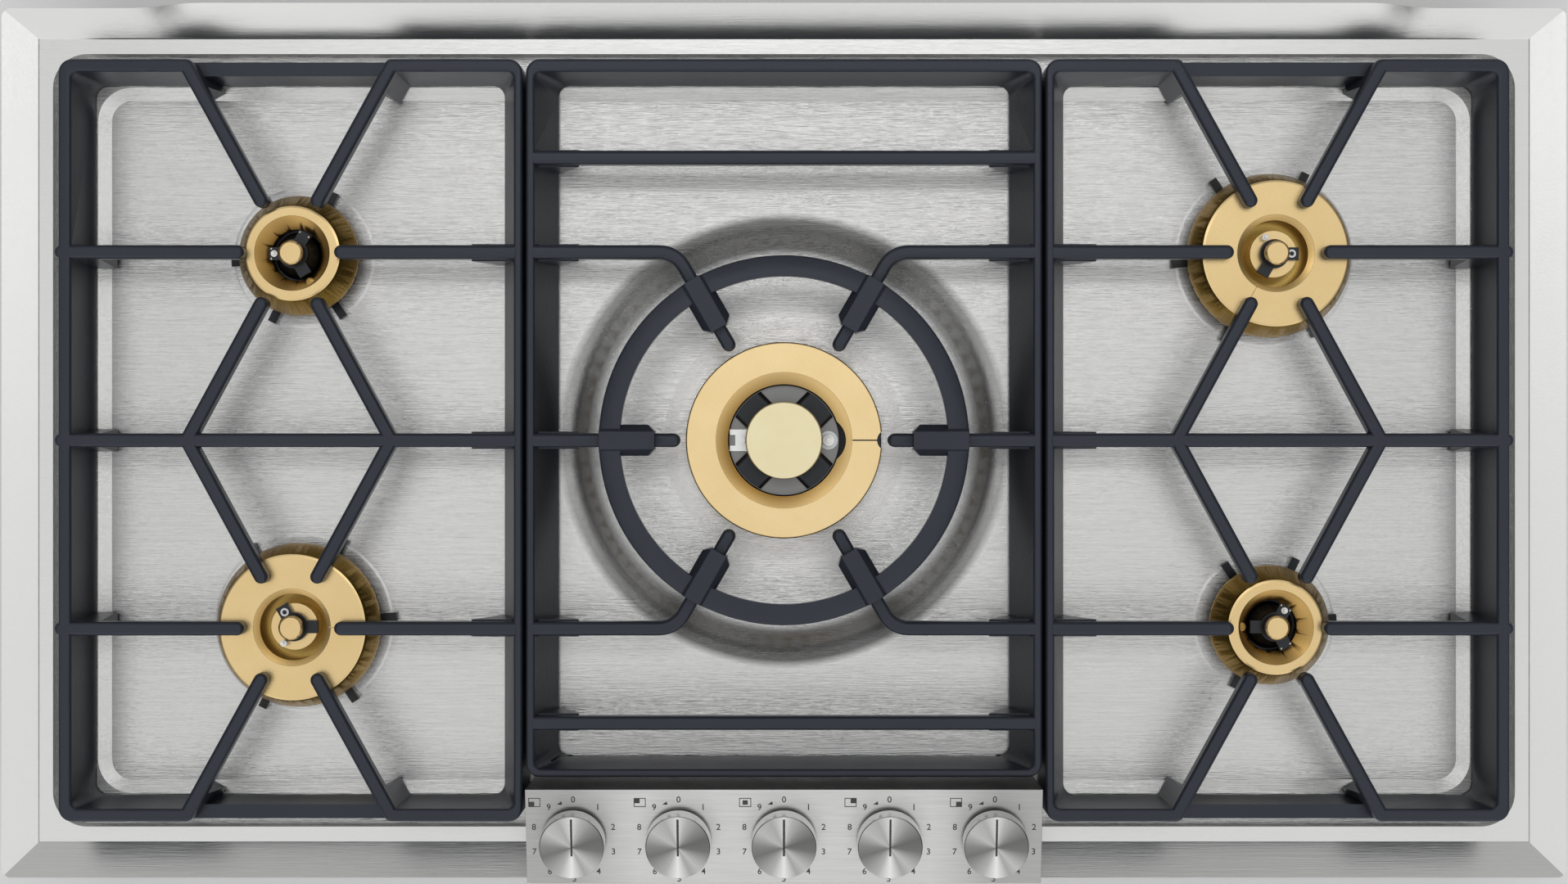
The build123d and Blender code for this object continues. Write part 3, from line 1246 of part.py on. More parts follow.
def grate_pads():
    """Rubber pads that the grates stand on, four under each grate."""
    half_width = GRATE_PAD_WIDTH / 2
    half_depth = GRATE_PAD_DEPTH / 2
    inner_x = SIDE_GRATE_X + JOINT_RAIL_TOP + half_width + GRATE_PAD_INSET
    outer_x = SIDE_GRATE_X + SIDE_GRATE_WIDTH - half_width - GRATE_PAD_INSET
    centre_x = CENTRE_GRATE_WIDTH / 2 - GRATE_PAD_INSET
    rear_y = LAYOUT_Y + GRATE_DEPTH / 2 - half_width
    front_y = LAYOUT_Y - GRATE_DEPTH / 2 + half_width
    spots = []
    for sign in (-1, 1):
        for y in (front_y, rear_y):
            spots.append((sign * outer_x, y, LEDGE_Z))
            spots.append((sign * inner_x, y, LEDGE_Z))
        spots.append((sign * centre_x, rear_y, LEDGE_Z))
        spots.append((sign * centre_x, CENTRE_GRATE_FRONT + half_depth, FLOOR_Z))
    pads = []
    for x, y, low_z in spots:
        pad = block(-half_width, half_width, -half_depth, half_depth, low_z, GRATE_BOTTOM_Z)
        pads.append(Pos(x, y, 0) * pad)
    return Compound(pads)


# --- casing and fastenings ---
def notched(width, depth, radius, low_z, wall):
    """Casing outline with the notch for the connections at the rear right corner."""
    top_z = LEDGE_Z - SHEET + CASING_LAP
    body = rounded_block(width, depth, radius, low_z, top_z, y=CASING_SHIFT_Y)
    right = CASING_WIDTH / 2
    return body - block(
        right - NOTCH_WIDTH - wall, right + 1, inlet_wall_y() + CASING_WALL - wall, CASING_REAR_Y + 1,
        -1, FLOOR_Z - SHEET - RUNNING_GAP - CASING_WALL + wall,
    )


def bottom_casing():
    """Folded bottom pan with dimples for the screws and a notch for gas and mains."""
    wall = CASING_WALL
    shell = notched(CASING_WIDTH, CASING_DEPTH, CASING_CORNER_R, 0, 0)
    shell -= notched(
        CASING_WIDTH - 2 * wall, CASING_DEPTH - 2 * wall, CASING_CORNER_R - wall, wall, wall
    )
    for x, y in cup_places():
        shell += drum(DIMPLE_R + wall, 0, DIMPLE_HEIGHT + wall, x, y)
        shell -= drum(DIMPLE_R, -1, DIMPLE_HEIGHT, x, y)
        shell -= drum(SCREW_R + 0.3, -1, DIMPLE_HEIGHT + 2, x, y)
    z = WORKTOP_Z - TUBE_DROP
    wall_y = inlet_wall_y()
    shell -= Pos(inlet_x(), wall_y, z) * Rot(90, 0, 0) * Cylinder(INLET_COLLAR_R + RUNNING_GAP, 6)
    shell -= Pos(gland_x(), wall_y, z) * Rot(90, 0, 0) * Cylinder(GLAND_R + RUNNING_GAP, 6)
    return shell


def gland_x():
    """The cable gland sits beside the gas inlet in the notch."""
    return inlet_x() - NOTCH_WIDTH / 2 + GLAND_FROM_CORNER


def cable_gland():
    """Cable gland in the notch's wall, open for a mains cable; no cable is fitted."""
    z = WORKTOP_Z - TUBE_DROP
    head_r = GLAND_R + GLAND_HEAD_OUT
    nut_r = GLAND_R + GLAND_NUT_OUT
    body = turned(
        (GLAND_BORE_R, -GLAND_HEAD), (head_r, -GLAND_HEAD), (head_r, 0), (GLAND_R, 0),
        (GLAND_R, GLAND_NUT_START), (nut_r, GLAND_NUT_START), (nut_r, GLAND_NUT_END),
        (GLAND_R, GLAND_LENGTH), (GLAND_BORE_R, GLAND_LENGTH),
    )
    return Pos(gland_x(), inlet_wall_y() - 2 * FIT, z) * Rot(-90, 0, 0) * body


def terminal_box():
    """Terminal housing standing on the casing floor in front of the gland, with its block inside."""
    x0 = gland_x() - TERMINAL_WIDTH * 2 / 3
    x1 = x0 + TERMINAL_WIDTH
    y1 = inlet_wall_y() - TERMINAL_TO_WALL
    y0 = y1 - TERMINAL_DEPTH
    top = CASING_WALL + TERMINAL_HEIGHT
    low = CASING_WALL + TERMINAL_FLOOR
    wall = TERMINAL_WALL
    box = block(x0, x1, y0, y1, CASING_WALL, top)
    box -= block(x0 + wall, x1 - wall, y0 + wall, y1 - wall, low, top + 1)
    inner = 3 * wall
    return box + block(x0 + inner, x1 - inner, y0 + 2 * inner, y1 - 2 * inner, low, top - 2 * wall)


def ignition_module():
    """Spark generator: a potted box with five outlet stubs, standing on the casing floor."""
    x = gland_x() - MODULE_FROM_GLAND
    y = CASING_REAR_Y - CASING_WALL - MODULE_FROM_REAR - MODULE_DEPTH / 2
    top = CASING_WALL + MODULE_HEIGHT
    box = rounded_block(MODULE_WIDTH, MODULE_DEPTH, MODULE_CORNER_R, CASING_WALL, top, x, y)
    for place in range(-2, 3):
        box += drum(
            MODULE_STUB_R, top, top + MODULE_STUB, x + MODULE_STUB_PITCH * place,
            y + MODULE_STUB_SHIFT,
        )
    return box


def casing_screws():
    """Screws through the casing into the burner cups."""
    low = DIMPLE_HEIGHT
    screw = drum(SCREW_HEAD_R, low - SCREW_HEAD, low) + drum(SCREW_R, low, low + SCREW_LENGTH - 1)
    return Compound([Pos(x, y, 0) * screw for x, y in cup_places()])


def clamp_bracket():
    """Sheet bracket against the casing's right wall, with a foot for the clamp screw."""
    wall_x = CASING_WIDTH / 2
    half = CLAMP_WIDTH / 2
    foot_x = wall_x + CLAMP_SHEET + CLAMP_REACH
    bracket = block(wall_x, wall_x + CLAMP_SHEET, -half, half, CLAMP_LOW_Z, CLAMP_HIGH_Z)
    bracket += block(wall_x, foot_x, -half, half, CLAMP_LOW_Z, CLAMP_LOW_Z + CLAMP_SHEET)
    return bracket - drum(SCREW_R + FIT, CLAMP_LOW_Z - 1, CLAMP_LOW_Z + 4, clamp_screw_x())


def clamp_screw_x():
    """Across the cooktop, the axis of the right-hand clamp screws."""
    return CASING_WIDTH / 2 + CLAMP_SHEET + CLAMP_REACH / 2


def clamp_screw():
    """Clamp screw that presses up against the worktop."""
    x = clamp_screw_x()
    low = CLAMP_LOW_Z - CLAMP_SCREW_DROP
    head_top = low + CLAMP_SCREW_HEAD
    head = drum(SCREW_HEAD_R, low, head_top, x)
    return head + drum(SCREW_R, head_top, WORKTOP_Z - WORKTOP_THICKNESS, x)


def four_corners(piece):
    """The piece at the four clamp places."""
    right = [Pos(0, sign * CLAMP_Y + CASING_SHIFT_Y, 0) * piece for sign in (-1, 1)]
    return Compound(right + [mirror(one, about=Plane.YZ) for one in right])


# --- all nodes ---
def build():
    """Every node's shape by its name."""
    nodes = {
        "top_tray": top_tray(),
        "rim_seal": rim_seal(),
        "control_panel": control_panel(),
        "bottom_casing": bottom_casing(),
        "clamp_brackets": four_corners(clamp_bracket()),
        "clamp_screws": four_corners(clamp_screw()),
        "casing_screws": casing_screws(),
        "grate_pads": grate_pads(),
        "gas_manifold": gas_manifold(),
        "gas_feed_pipe": gas_feed(),
        "gas_inlet": gas_inlet(),
        "gas_tubes": gas_tubes(),
        "tap_bodies": tap_bodies(),
        "panel_bushes": panel_bushes(),
        "switch_strip": switch_strip(),
        "injectors": injectors(),
        "igniters": igniters(),
        "wok_flame_sensor": wok_flame_sensor(),
        "ignition_module": ignition_module(),
        "terminal_box": terminal_box(),
        "cable_gland": cable_gland(),
        "wok_burner_cup": wok_burner_cup(),
        "wok_plate": wok_plate(),
        "wok_bridge": wok_bridge(),
        "wok_flame_ring": wok_flame_ring(),
        "wok_cap": wok_cap(),
        "grate_right": side_grate(),
        "grate_centre": centre_grate(),
        "wok_ring": wok_ring(),
    }
    nodes["grate_left"] = mirror(nodes["grate_right"], about=Plane.YZ)
    bridges = []
    inner = []
    for name, (x, y, size) in SIDE_BURNERS.items():
        place = Pos(x, y, 0)
        nodes["burner_cup_" + name] = burner_cup(x, y, size)
        turn = Rot(0, 0, PIN_ANGLES[name] + ARM_TURN)
        nodes["flame_ring_" + name] = place * turn * side_flame_ring(size)
        nodes["burner_cap_" + name] = place * burner_cap()
        bridges.append(place * burner_bridge(name, size))
        if size == "large":
            inner.append(place * inner_flame_ring())
    nodes["burner_bridges"] = Compound(bridges)
    nodes["inner_flame_rings"] = Compound(inner)
    for number, x in enumerate(KNOB_X, start=1):
        place = tap_place(x)
        nodes[f"tap_plug_{number}"] = place * tap_plug()
        nodes[f"spindle_{number}"] = place * spindle()
        nodes[f"knob_{number}"] = place * knob()
    return nodes


os.makedirs("parts", exist_ok=True)
for node_name, shape in build().items():
    export_step(shape, f"parts/{node_name}.step")
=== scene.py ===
import json
import math

import bmesh
import bpy
from mathutils import Matrix, Vector


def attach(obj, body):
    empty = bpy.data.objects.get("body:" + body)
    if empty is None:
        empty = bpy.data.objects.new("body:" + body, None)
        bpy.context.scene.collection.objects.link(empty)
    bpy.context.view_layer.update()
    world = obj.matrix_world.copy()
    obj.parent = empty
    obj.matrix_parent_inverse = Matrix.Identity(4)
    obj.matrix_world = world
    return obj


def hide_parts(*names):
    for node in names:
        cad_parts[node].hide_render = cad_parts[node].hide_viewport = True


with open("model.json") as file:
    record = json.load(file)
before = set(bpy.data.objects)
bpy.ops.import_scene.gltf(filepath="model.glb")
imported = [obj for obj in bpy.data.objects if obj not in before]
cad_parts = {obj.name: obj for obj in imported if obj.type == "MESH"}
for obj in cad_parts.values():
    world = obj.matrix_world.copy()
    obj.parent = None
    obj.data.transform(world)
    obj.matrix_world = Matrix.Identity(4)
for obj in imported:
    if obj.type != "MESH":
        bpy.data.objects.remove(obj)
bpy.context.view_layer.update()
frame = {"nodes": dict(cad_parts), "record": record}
MM = 0.001

# Heights in metres above the underside of the casing.
WORKTOP = 58 * MM
CREASE = WORKTOP + 2 * MM
BAND_LOW = CREASE - 3 * MM
WELL_LOW = WORKTOP - 14 * MM
BRIDGE_TOP = WORKTOP + 18 * MM
WOK_PLATE_TOP = WORKTOP + 11.5 * MM
WOK_BRASS_FOOT = WORKTOP + 4 * MM
WOK_BRASS_TOP = WORKTOP + 25 * MM

# The control panel: its front edge, its slope and the row of knobs on it.
PANEL_FRONT_Y = -254 * MM
PANEL_FRONT_Z = WORKTOP + 30 * MM
PANEL_RISE = 10.0 * MM
PANEL_DEPTH = 55.5 * MM
PANEL_TILT = math.atan2(PANEL_RISE, PANEL_DEPTH)
KNOB_PITCH = 60.4 * MM
KNOB_X = [KNOB_PITCH * place for place in (-2, -1, 0, 1, 2)]
KNOB_Y = -227.7 * MM
KNOB_Z = PANEL_FRONT_Z + (KNOB_Y - PANEL_FRONT_Y) * math.tan(PANEL_TILT)

# The burners: the wok burner's centre is at LAYOUT_Y, the others stand round it.
LAYOUT_Y = 1.5 * MM
WOK_CENTRE = (0, LAYOUT_Y, 0)
BURNER_X = 285.7 * MM
ROW_Y = 108.7 * MM
BURNERS = {
    "left_front": (-BURNER_X, LAYOUT_Y - ROW_Y, "large"),
    "left_rear": (-BURNER_X, LAYOUT_Y + ROW_Y, "small"),
    "right_rear": (BURNER_X, LAYOUT_Y + ROW_Y, "large"),
    "right_front": (BURNER_X, LAYOUT_Y - ROW_Y, "small"),
}
# Direction of each side burner's igniter pin from its axis, in degrees from the right.
PIN_ANGLES = {"left_front": 240.0, "left_rear": 180.0, "right_rear": 120.0, "right_front": 60.0}
# Radii of each ring's bore, of the lip over it, of its flat top's edge and of the skirt's top.
RING_RADII = {
    "large": (19.5 * MM, 22.6 * MM, 41.3 * MM, 42.5 * MM),
    "small": (15.0 * MM, 21.9 * MM, 26.4 * MM, 27.6 * MM),
    "wok": (32.7 * MM, 39.5 * MM, 56.2 * MM, 56.3 * MM),
}
LARGE_CUP_BORE_R = 20.5 * MM

# Radii on the tray: the side burners' pads, the wok burner's foot, and the rim of the wok dish with
# half its width, the soft ends of its shade and the start and length of its outer part.
SIDE_PAD_R = 57 * MM
WOK_FOOT_R = 76 * MM
DISH_RIM_R = 123 * MM
DISH_RIM_HALF = 13 * MM
DISH_RIM_FADE = 5 * MM
DISH_OUTER_R = 122 * MM
DISH_OUTER_FADE = 4 * MM


# --- finishes ---
class Wire:
    """One output of a node. Arithmetic on it adds Math nodes."""

    def __init__(self, finish, socket):
        self.finish = finish
        self.socket = socket

    def math(self, operation, *values):
        sockets = dict(enumerate(values))
        return self.finish.node("ShaderNodeMath", {"operation": operation}, sockets)

    def __add__(self, other):
        return self.math("ADD", self, other)

    __radd__ = __add__

    def __neg__(self):
        return self.math("MULTIPLY", self, -1.0)

    def __mul__(self, other):
        return self.math("MULTIPLY", self, other)

    __rmul__ = __mul__

    def __sub__(self, other):
        return self.math("SUBTRACT", self, other)

    def __rsub__(self, other):
        return self.math("SUBTRACT", other, self)

    def __truediv__(self, other):
        return self.math("DIVIDE", self, other)

    def __pow__(self, other):
        return self.math("POWER", self, other)

    def __gt__(self, other):
        return self.math("GREATER_THAN", self, other)

    def __lt__(self, other):
        return self.math("LESS_THAN", self, other)

    def __abs__(self):
        return self.math("ABSOLUTE", self)

    def clamp(self):
        return self.math("MINIMUM", self.math("MAXIMUM", self, 0.0), 1.0)


class NodeMaker:
    """Adds nodes to one node tree."""

    def __init__(self, tree):
        self.tree = tree

    def node(self, kind, settings=None, sockets=None, out=0):
        made = self.tree.nodes.new(kind)
        for name, value in (settings or {}).items():
            if name == "stops":
                self.set_stops(made.color_ramp, value)
            else:
                setattr(made, name, value)
        for name, value in (sockets or {}).items():
            self.feed(made.inputs[name], value)
        return Wire(self, made.outputs[out])

    def feed(self, socket, value):
        if isinstance(value, Wire):
            self.tree.links.new(value.socket, socket)
        else:
            socket.default_value = value

    def set_stops(self, ramp, stops):
        while len(ramp.elements) < len(stops):
            ramp.elements.new(0.5)
        for element, (position, shade) in zip(ramp.elements, stops):
            element.position = position
            element.color = (shade, shade, shade, 1.0)

    def parts(self, vector):
        """The X, Y and Z of a vector."""
        x = self.node("ShaderNodeSeparateXYZ", sockets={0: vector})
        y, z = (Wire(self, socket) for socket in x.socket.node.outputs[1:])
        return x, y, z


class Finish(NodeMaker):
    """A procedural material round one Principled shader."""

    def __init__(self, name):
        self.material = bpy.data.materials.new(name)
        self.material.use_nodes = True
        super().__init__(self.material.node_tree)
        self.shader = self.tree.nodes["Principled BSDF"]
        self.place = self.node("ShaderNodeTexCoord", out="Object")

    def noise(self, place, scale=1.0, detail=3.0):
        sockets = {"Vector": place, "Scale": scale, "Detail": detail, "Roughness": 0.55}
        return self.node("ShaderNodeTexNoise", sockets=sockets)

    def streaks(self, along, across, detail):
        """Noise drawn out along X, by its scale along X and across it."""
        sockets = {"Vector": self.place, "Scale": (along, across, across)}
        return self.noise(self.node("ShaderNodeMapping", sockets=sockets), detail=detail)

    def rings(self, radius, scale):
        """Uneven concentric rings, as a lathe tool leaves them."""
        sockets = {"W": radius, "Scale": scale, "Detail": 2.0, "Roughness": 0.6}
        return self.node("ShaderNodeTexNoise", {"noise_dimensions": "1D"}, sockets)

    def local(self, centre, tilt=0.0):
        """X, Y and Z counted from a centre, in axes tilted about X."""
        sockets = {"Vector": self.place, "Location": centre, "Rotation": (tilt, 0, 0)}
        return self.parts(self.node("ShaderNodeMapping", {"vector_type": "TEXTURE"}, sockets))

    def blend(self, share, first, second):
        """A colour from first to second."""
        sockets = {0: share, 6: rgba(first), 7: rgba(second)}
        return self.node("ShaderNodeMix", {"data_type": "RGBA"}, sockets, out=2)

    def toned(self, share, colour, tones):
        """A colour between two tones of it, given as factors."""
        low, high = tones
        return self.blend(share, tinted(colour, low), tinted(colour, high))

    def bump(self, height, depth, strength, normal=None):
        sockets = {"Height": height, "Distance": depth, "Strength": strength}
        if normal:
            sockets["Normal"] = normal
        return self.node("ShaderNodeBump", sockets=sockets)

    def surface_normal(self):
        return self.parts(self.node("ShaderNodeNewGeometry", out="Normal"))

    def upright(self, kept_x, kept_y):
        """The surface's normal with only a share of its sideways parts kept, so that it leans upwards."""
        x, y, z = self.surface_normal()
        sockets = {"X": x * kept_x, "Y": y * kept_y, "Z": z}
        leant = self.node("ShaderNodeCombineXYZ", sockets=sockets)
        return self.node("ShaderNodeVectorMath", {"operation": "NORMALIZE"}, {0: leant})

    def set(self, **values):
        """Feeds the shader's sockets, each by its name with _ for a space."""
        for name, value in values.items():
            self.feed(self.shader.inputs[name.replace("_", " ")], value)
        return self.material


def rgba(colour):
    return colour if isinstance(colour, Wire) else (*colour, 1.0)


def tinted(colour, factor):
    """The colour made lighter or darker by a factor or by one for each channel, never above white."""
    factors = factor if isinstance(factor, tuple) else (factor,) * 3
    return [min(1.0, value * share) for value, share in zip(colour, factors)]


def between(share, low, high):
    """A number from low to high as share goes from 0 to 1."""
    return share * (high - low) + low


def reach(x, y):
    """Distance from the axis that X and Y are counted from."""
    return (x * x + y * y) ** 0.5


def clock(x, y):
    """Turn about that axis: 0 at twelve o'clock, 0.5 at six, 1 at twelve again."""
    turn = x.math("ARCTAN2", x, y) * (0.5 / math.pi)
    return turn.math("FRACT", turn + 1.0)


# Colours of bare metal, of enamel and of ceramic.
TRAY = (0.575, 0.575, 0.567)
PANEL = (0.57, 0.57, 0.562)
KNOB_STEEL = (0.62, 0.62, 0.61)
BRASS = (0.65, 0.49, 0.25)
WOK_BRASS = (0.79, 0.61, 0.33)
CAP_BRASS = (0.73, 0.66, 0.43)
SHADED_BRASS = (0.42, 0.28, 0.08)
CAST_GREY = (0.017, 0.0195, 0.028)
BLACK = (0.01, 0.009, 0.009)
WHITE = (0.93, 0.92, 0.89)

# Tones of brushed steel, in its grooves and between them, as factors of the sheet's colour: first its own
# tones, then painted shade at the panel's ends and in the tray's well, painted light on the rim's band
# and slope, and the darkest painted shade, on the rim of the wok dish.
SHEET_TONES = (0.87, 1.1)
PAINTED_END_SHADE_TONES = (0.58, 0.74)
PAINTED_WELL_SHADE_TONES = (0.79, 1.0)
PAINTED_BAND_LIGHT_TONES = (1.04, 1.13)
PAINTED_SLOPE_LIGHT_TONES = (1.06, 1.12)
DISH_SHADE_TONE = 0.1

# How much of that darkest tone the rim of the wok dish takes at its sides, in front and at the rear,
# and what the rim's outer part adds at the sides (twice as much in front, nothing at the rear).
DISH_SIDE_SHADE = 0.25
DISH_FRONT_SHADE = 0.6
DISH_REAR_SHADE = 0.8
DISH_OUTER_SHADE = 0.15

# How far the tray's shading normal leans upwards, from 0 to 1: on the side burners' pads, round the
# wok burner's foot, on the slopes of the rim's sides, and at the rear's foot and top, and in front.
PAD_LEAN = 0.8
WOK_FOOT_LEAN = 0.96
SIDE_LEAN = 0.5
REAR_FOOT_LEAN = 0.5
REAR_TOP_LEAN = 0.62
FRONT_LEAN = 0.14
# The lean on a slope is whole from 1 / SLOPE_START of its height upwards, and counts in full for a
# face whose normal points to the front or the rear by 1 / FACING_GAIN or more.
SLOPE_START = 20.0
FACING_GAIN = 4.0


def brushed_steel(name, colour, rough, depth=0.05 * MM, ends=None, slope=None):
    """Stainless steel brushed along X, with short streaks and faint handling marks.

    With ends, painted shade darkens the sheet from one distance to another on both sides of its middle.
    With slope, the heights of the foot and the top of the rim's slope, it is the tray's steel, with
    painted shade in its well and on the rim of the wok dish and painted light on the rim's band and
    slope."""
    finish = Finish(name)
    fine = finish.streaks(60.0, 3000.0, detail=3.0)
    broad = finish.streaks(18.0, 800.0, detail=2.0)
    cloud = finish.noise(finish.place, scale=7.0, detail=4.0)
    lines = ((fine * 0.6 + broad * 0.4 - 0.5) * 2.2 + 0.5).clamp()
    shade = finish.toned(lines, colour, SHEET_TONES)
    dullness = cloud * 0.05
    grooves = lines
    normal = None
    if ends:
        bright_half, full_shade_half = ends
        x, _, _ = finish.parts(finish.place)
        # Painted shade: the sheet grows darker towards both of its ends.
        painted_end_shade = ((abs(x) - bright_half) / (full_shade_half - bright_half)).clamp()
        shade = finish.blend(painted_end_shade, shade, finish.toned(lines, colour, PAINTED_END_SHADE_TONES))
    if slope:
        foot, top = slope
        _, _, height = finish.parts(finish.place)
        climb = ((height - foot) / (top - foot)).clamp()
        band = height > BAND_LOW
        well = (height < BAND_LOW) * (height > WELL_LOW)
        # Painted shade in the well and on the rim of the wok dish, painted light on the rim's band and
        # slope.
        shade = finish.blend(well, shade, finish.toned(lines, colour, PAINTED_WELL_SHADE_TONES))
        shade = finish.blend(band, shade, finish.toned(lines, colour, PAINTED_BAND_LIGHT_TONES))
        shade = finish.blend(climb, shade, finish.toned(lines, colour, PAINTED_SLOPE_LIGHT_TONES))
        shade = finish.blend(dish_shade(finish), shade, tinted(colour, DISH_SHADE_TONE))
        grooves = lines * (1.0 - band * 0.5)
        dullness = dullness + band * 0.09
        normal = tray_normal(finish, climb)
    return finish.set(
        Base_Color=shade,
        Metallic=1.0,
        Roughness=between(lines, rough - 0.05, rough + 0.05) + dullness,
        Normal=finish.bump(grooves, depth, 0.6, normal),
    )


def dish_shade(finish):
    """How much the wok dish's rim is shaded: most at the rear, less in front, least at the sides."""
    x, y, _ = finish.local(WOK_CENTRE)
    radius = reach(x, y)
    rearward = y / radius
    rim = ((DISH_RIM_HALF - abs(radius - DISH_RIM_R)) / DISH_RIM_FADE).clamp()
    mean = (DISH_REAR_SHADE + DISH_FRONT_SHADE) / 2
    tip = (DISH_REAR_SHADE - DISH_FRONT_SHADE) / 2
    around = between(abs(rearward), DISH_SIDE_SHADE, mean) + rearward * tip
    outer = ((radius - DISH_OUTER_R) / DISH_OUTER_FADE).clamp() * (1.0 - rearward)
    return (rim * (around + outer * DISH_OUTER_SHADE)).clamp()


def burner_lean(finish):
    """The lean on the pads of the side burners and round the wok burner's foot, 0 elsewhere."""
    x, y, _ = finish.parts(finish.place)
    y = y - LAYOUT_Y
    side = reach(abs(x) - BURNER_X, abs(y) - ROW_Y) < SIDE_PAD_R
    middle = reach(x, y) < WOK_FOOT_R
    return side * PAD_LEAN + middle * WOK_FOOT_LEAN


def tray_normal(finish, climb):
    """The tray's normal, leant upwards where the pressed sheet is softer than its flat facets.

    That is on the rim's slopes, most of all at the rear, and round the burners."""
    _, y, _ = finish.surface_normal()
    above_foot = (climb * SLOPE_START).clamp()
    frontward = (y * -FACING_GAIN).clamp()
    rearward = (y * FACING_GAIN).clamp()
    elsewhere = 1.0 - burner_lean(finish)
    lean = frontward * between(climb, REAR_FOOT_LEAN, REAR_TOP_LEAN) + rearward * FRONT_LEAN
    kept_x = (1.0 - above_foot * SIDE_LEAN) * elsewhere
    kept_y = (1.0 - above_foot * lean) * elsewhere
    return finish.upright(kept_x, kept_y)


# Painted highlights and painted shade round the face of a knob, by the clock: bright and dark wedges such
# as light makes on spun steel.
PAINTED_WEDGES = [
    (0.0, 0.84), (0.05, 0.5), (0.12, 0.28), (0.2, 0.12), (0.27, 0.16), (0.34, 0.46), (0.38, 0.6),
    (0.43, 0.42), (0.5, 1.0), (0.57, 0.5), (0.64, 0.32), (0.7, 0.16), (0.76, 0.26), (0.84, 0.6),
    (0.93, 0.46), (1.0, 0.84),
]
# Tones of the painted wedges, and the painted light on the knob's side.
PAINTED_WEDGE_TONES = (0.1, 1.25)
KNOB_SIDE_PAINTED_LIGHT = 1.2


def spun_steel(name, colour, centre, tilt, face):
    """Steel faced on a lathe with fine rings; above the face's height, bright and dark wedges are painted
    highlights and shade, and below it the side is painted lighter.
    """
    finish = Finish(name)
    x, y, z = finish.local(centre, tilt)
    rings = finish.rings(reach(x, y), 5200.0)
    # Painted highlights and shade by the clock round the face.
    wedges = finish.node("ShaderNodeValToRGB", {"stops": PAINTED_WEDGES}, {0: clock(x, y)})
    faced = finish.toned(wedges * between(rings, 0.9, 1.05), colour, PAINTED_WEDGE_TONES)
    return finish.set(
        Base_Color=finish.blend(z > face, tinted(colour, KNOB_SIDE_PAINTED_LIGHT), faced),
        Metallic=1.0,
        Roughness=between(rings, 0.24, 0.31),
        Anisotropic=0.8,
        Normal=finish.bump(rings, 0.012 * MM, 0.35),
    )


def cast_enamel(name, colour):
    """Cast iron under a thin matt black enamel, with orange-peel and sand texture."""
    finish = Finish(name)
    grain = finish.noise(finish.place, scale=900.0, detail=3.0)
    peel = finish.noise(finish.place, scale=260.0, detail=2.0)
    cloud = finish.noise(finish.place, scale=18.0, detail=4.0)
    return finish.set(
        Base_Color=finish.toned(cloud, colour, (0.75, 1.3)),
        Roughness=between(cloud, 0.27, 0.36) + grain * 0.06,
        Specular_IOR_Level=0.4,
        Specular_Tint=(0.82, 0.9, 1.0, 1.0),
        Normal=finish.bump(grain * 0.6 + peel * 0.8, 0.22 * MM, 0.55),
    )


# Brass tones by channel: where the brass is worn; painted shade on a ring's skirt; and painted shade in
# each ring's funnel, at the lip and at the bore.
WORN_TONE = (0.93, 0.9, 0.84)
PAINTED_SKIRT_SHADE_TONE = (0.62, 0.5, 0.2)
PAINTED_FUNNEL_SHADE_TONES = {
    "large": ((0.78, 0.72, 0.6), (0.5, 0.42, 0.28)),
    "small": ((0.64, 0.54, 0.36), (0.24, 0.17, 0.07)),
    "wok": ((0.72, 0.66, 0.54), (0.3, 0.22, 0.1)),
}


def turned_brass(name, colour, centre=(0, 0, 0), rough=0.26, size=None):
    """Lathe-turned brass: fine rings round its axis, satin flats, a little tarnish.

    A burner ring of the given size gets painted shade off its flat top: a darker skirt, and a funnel
    darker towards its bore and at the front left of it. Its funnel and chamfer take their light from
    above."""
    finish = Finish(name)
    x, y, _ = finish.local(centre)
    radius = reach(x, y)
    rings = finish.rings(radius, 2600.0)
    cloud = finish.noise(finish.place, scale=45.0, detail=4.0)
    grain = finish.noise(finish.place, scale=1500.0, detail=2.0)
    worn = (cloud * 1.6 - 0.45).clamp()
    shade = finish.blend(worn, colour, tinted(colour, WORN_TONE))
    normal = None
    if size:
        bore, lip, edge, skirt_top = RING_RADII[size]
        funnel = radius < lip - 0.1 * MM
        chamfer = (radius > edge) * (radius < skirt_top)
        # Painted shade: the funnel darkens towards its bore and at its front left, and the skirt is
        # darker.
        front_left_shade = (x * -0.8 + y * -0.6) / radius
        depth = ((lip - radius) / (lip - bore) * 0.7 + front_left_shade * 0.3 + 0.1).clamp()
        shade = finish.blend(funnel, shade, finish.toned(depth, colour, PAINTED_FUNNEL_SHADE_TONES[size]))
        shade = finish.blend(radius > skirt_top, shade, tinted(colour, PAINTED_SKIRT_SHADE_TONE))
        kept = 1.0 - (funnel + chamfer) * 0.8
        normal = finish.upright(kept, kept)
    return finish.set(
        Base_Color=shade,
        Metallic=1.0,
        Roughness=between(rings, rough - 0.03, rough + 0.04) + grain * 0.04,
        Normal=finish.bump(rings * 0.7 + grain * 0.3, 0.02 * MM, 0.5, normal),
    )


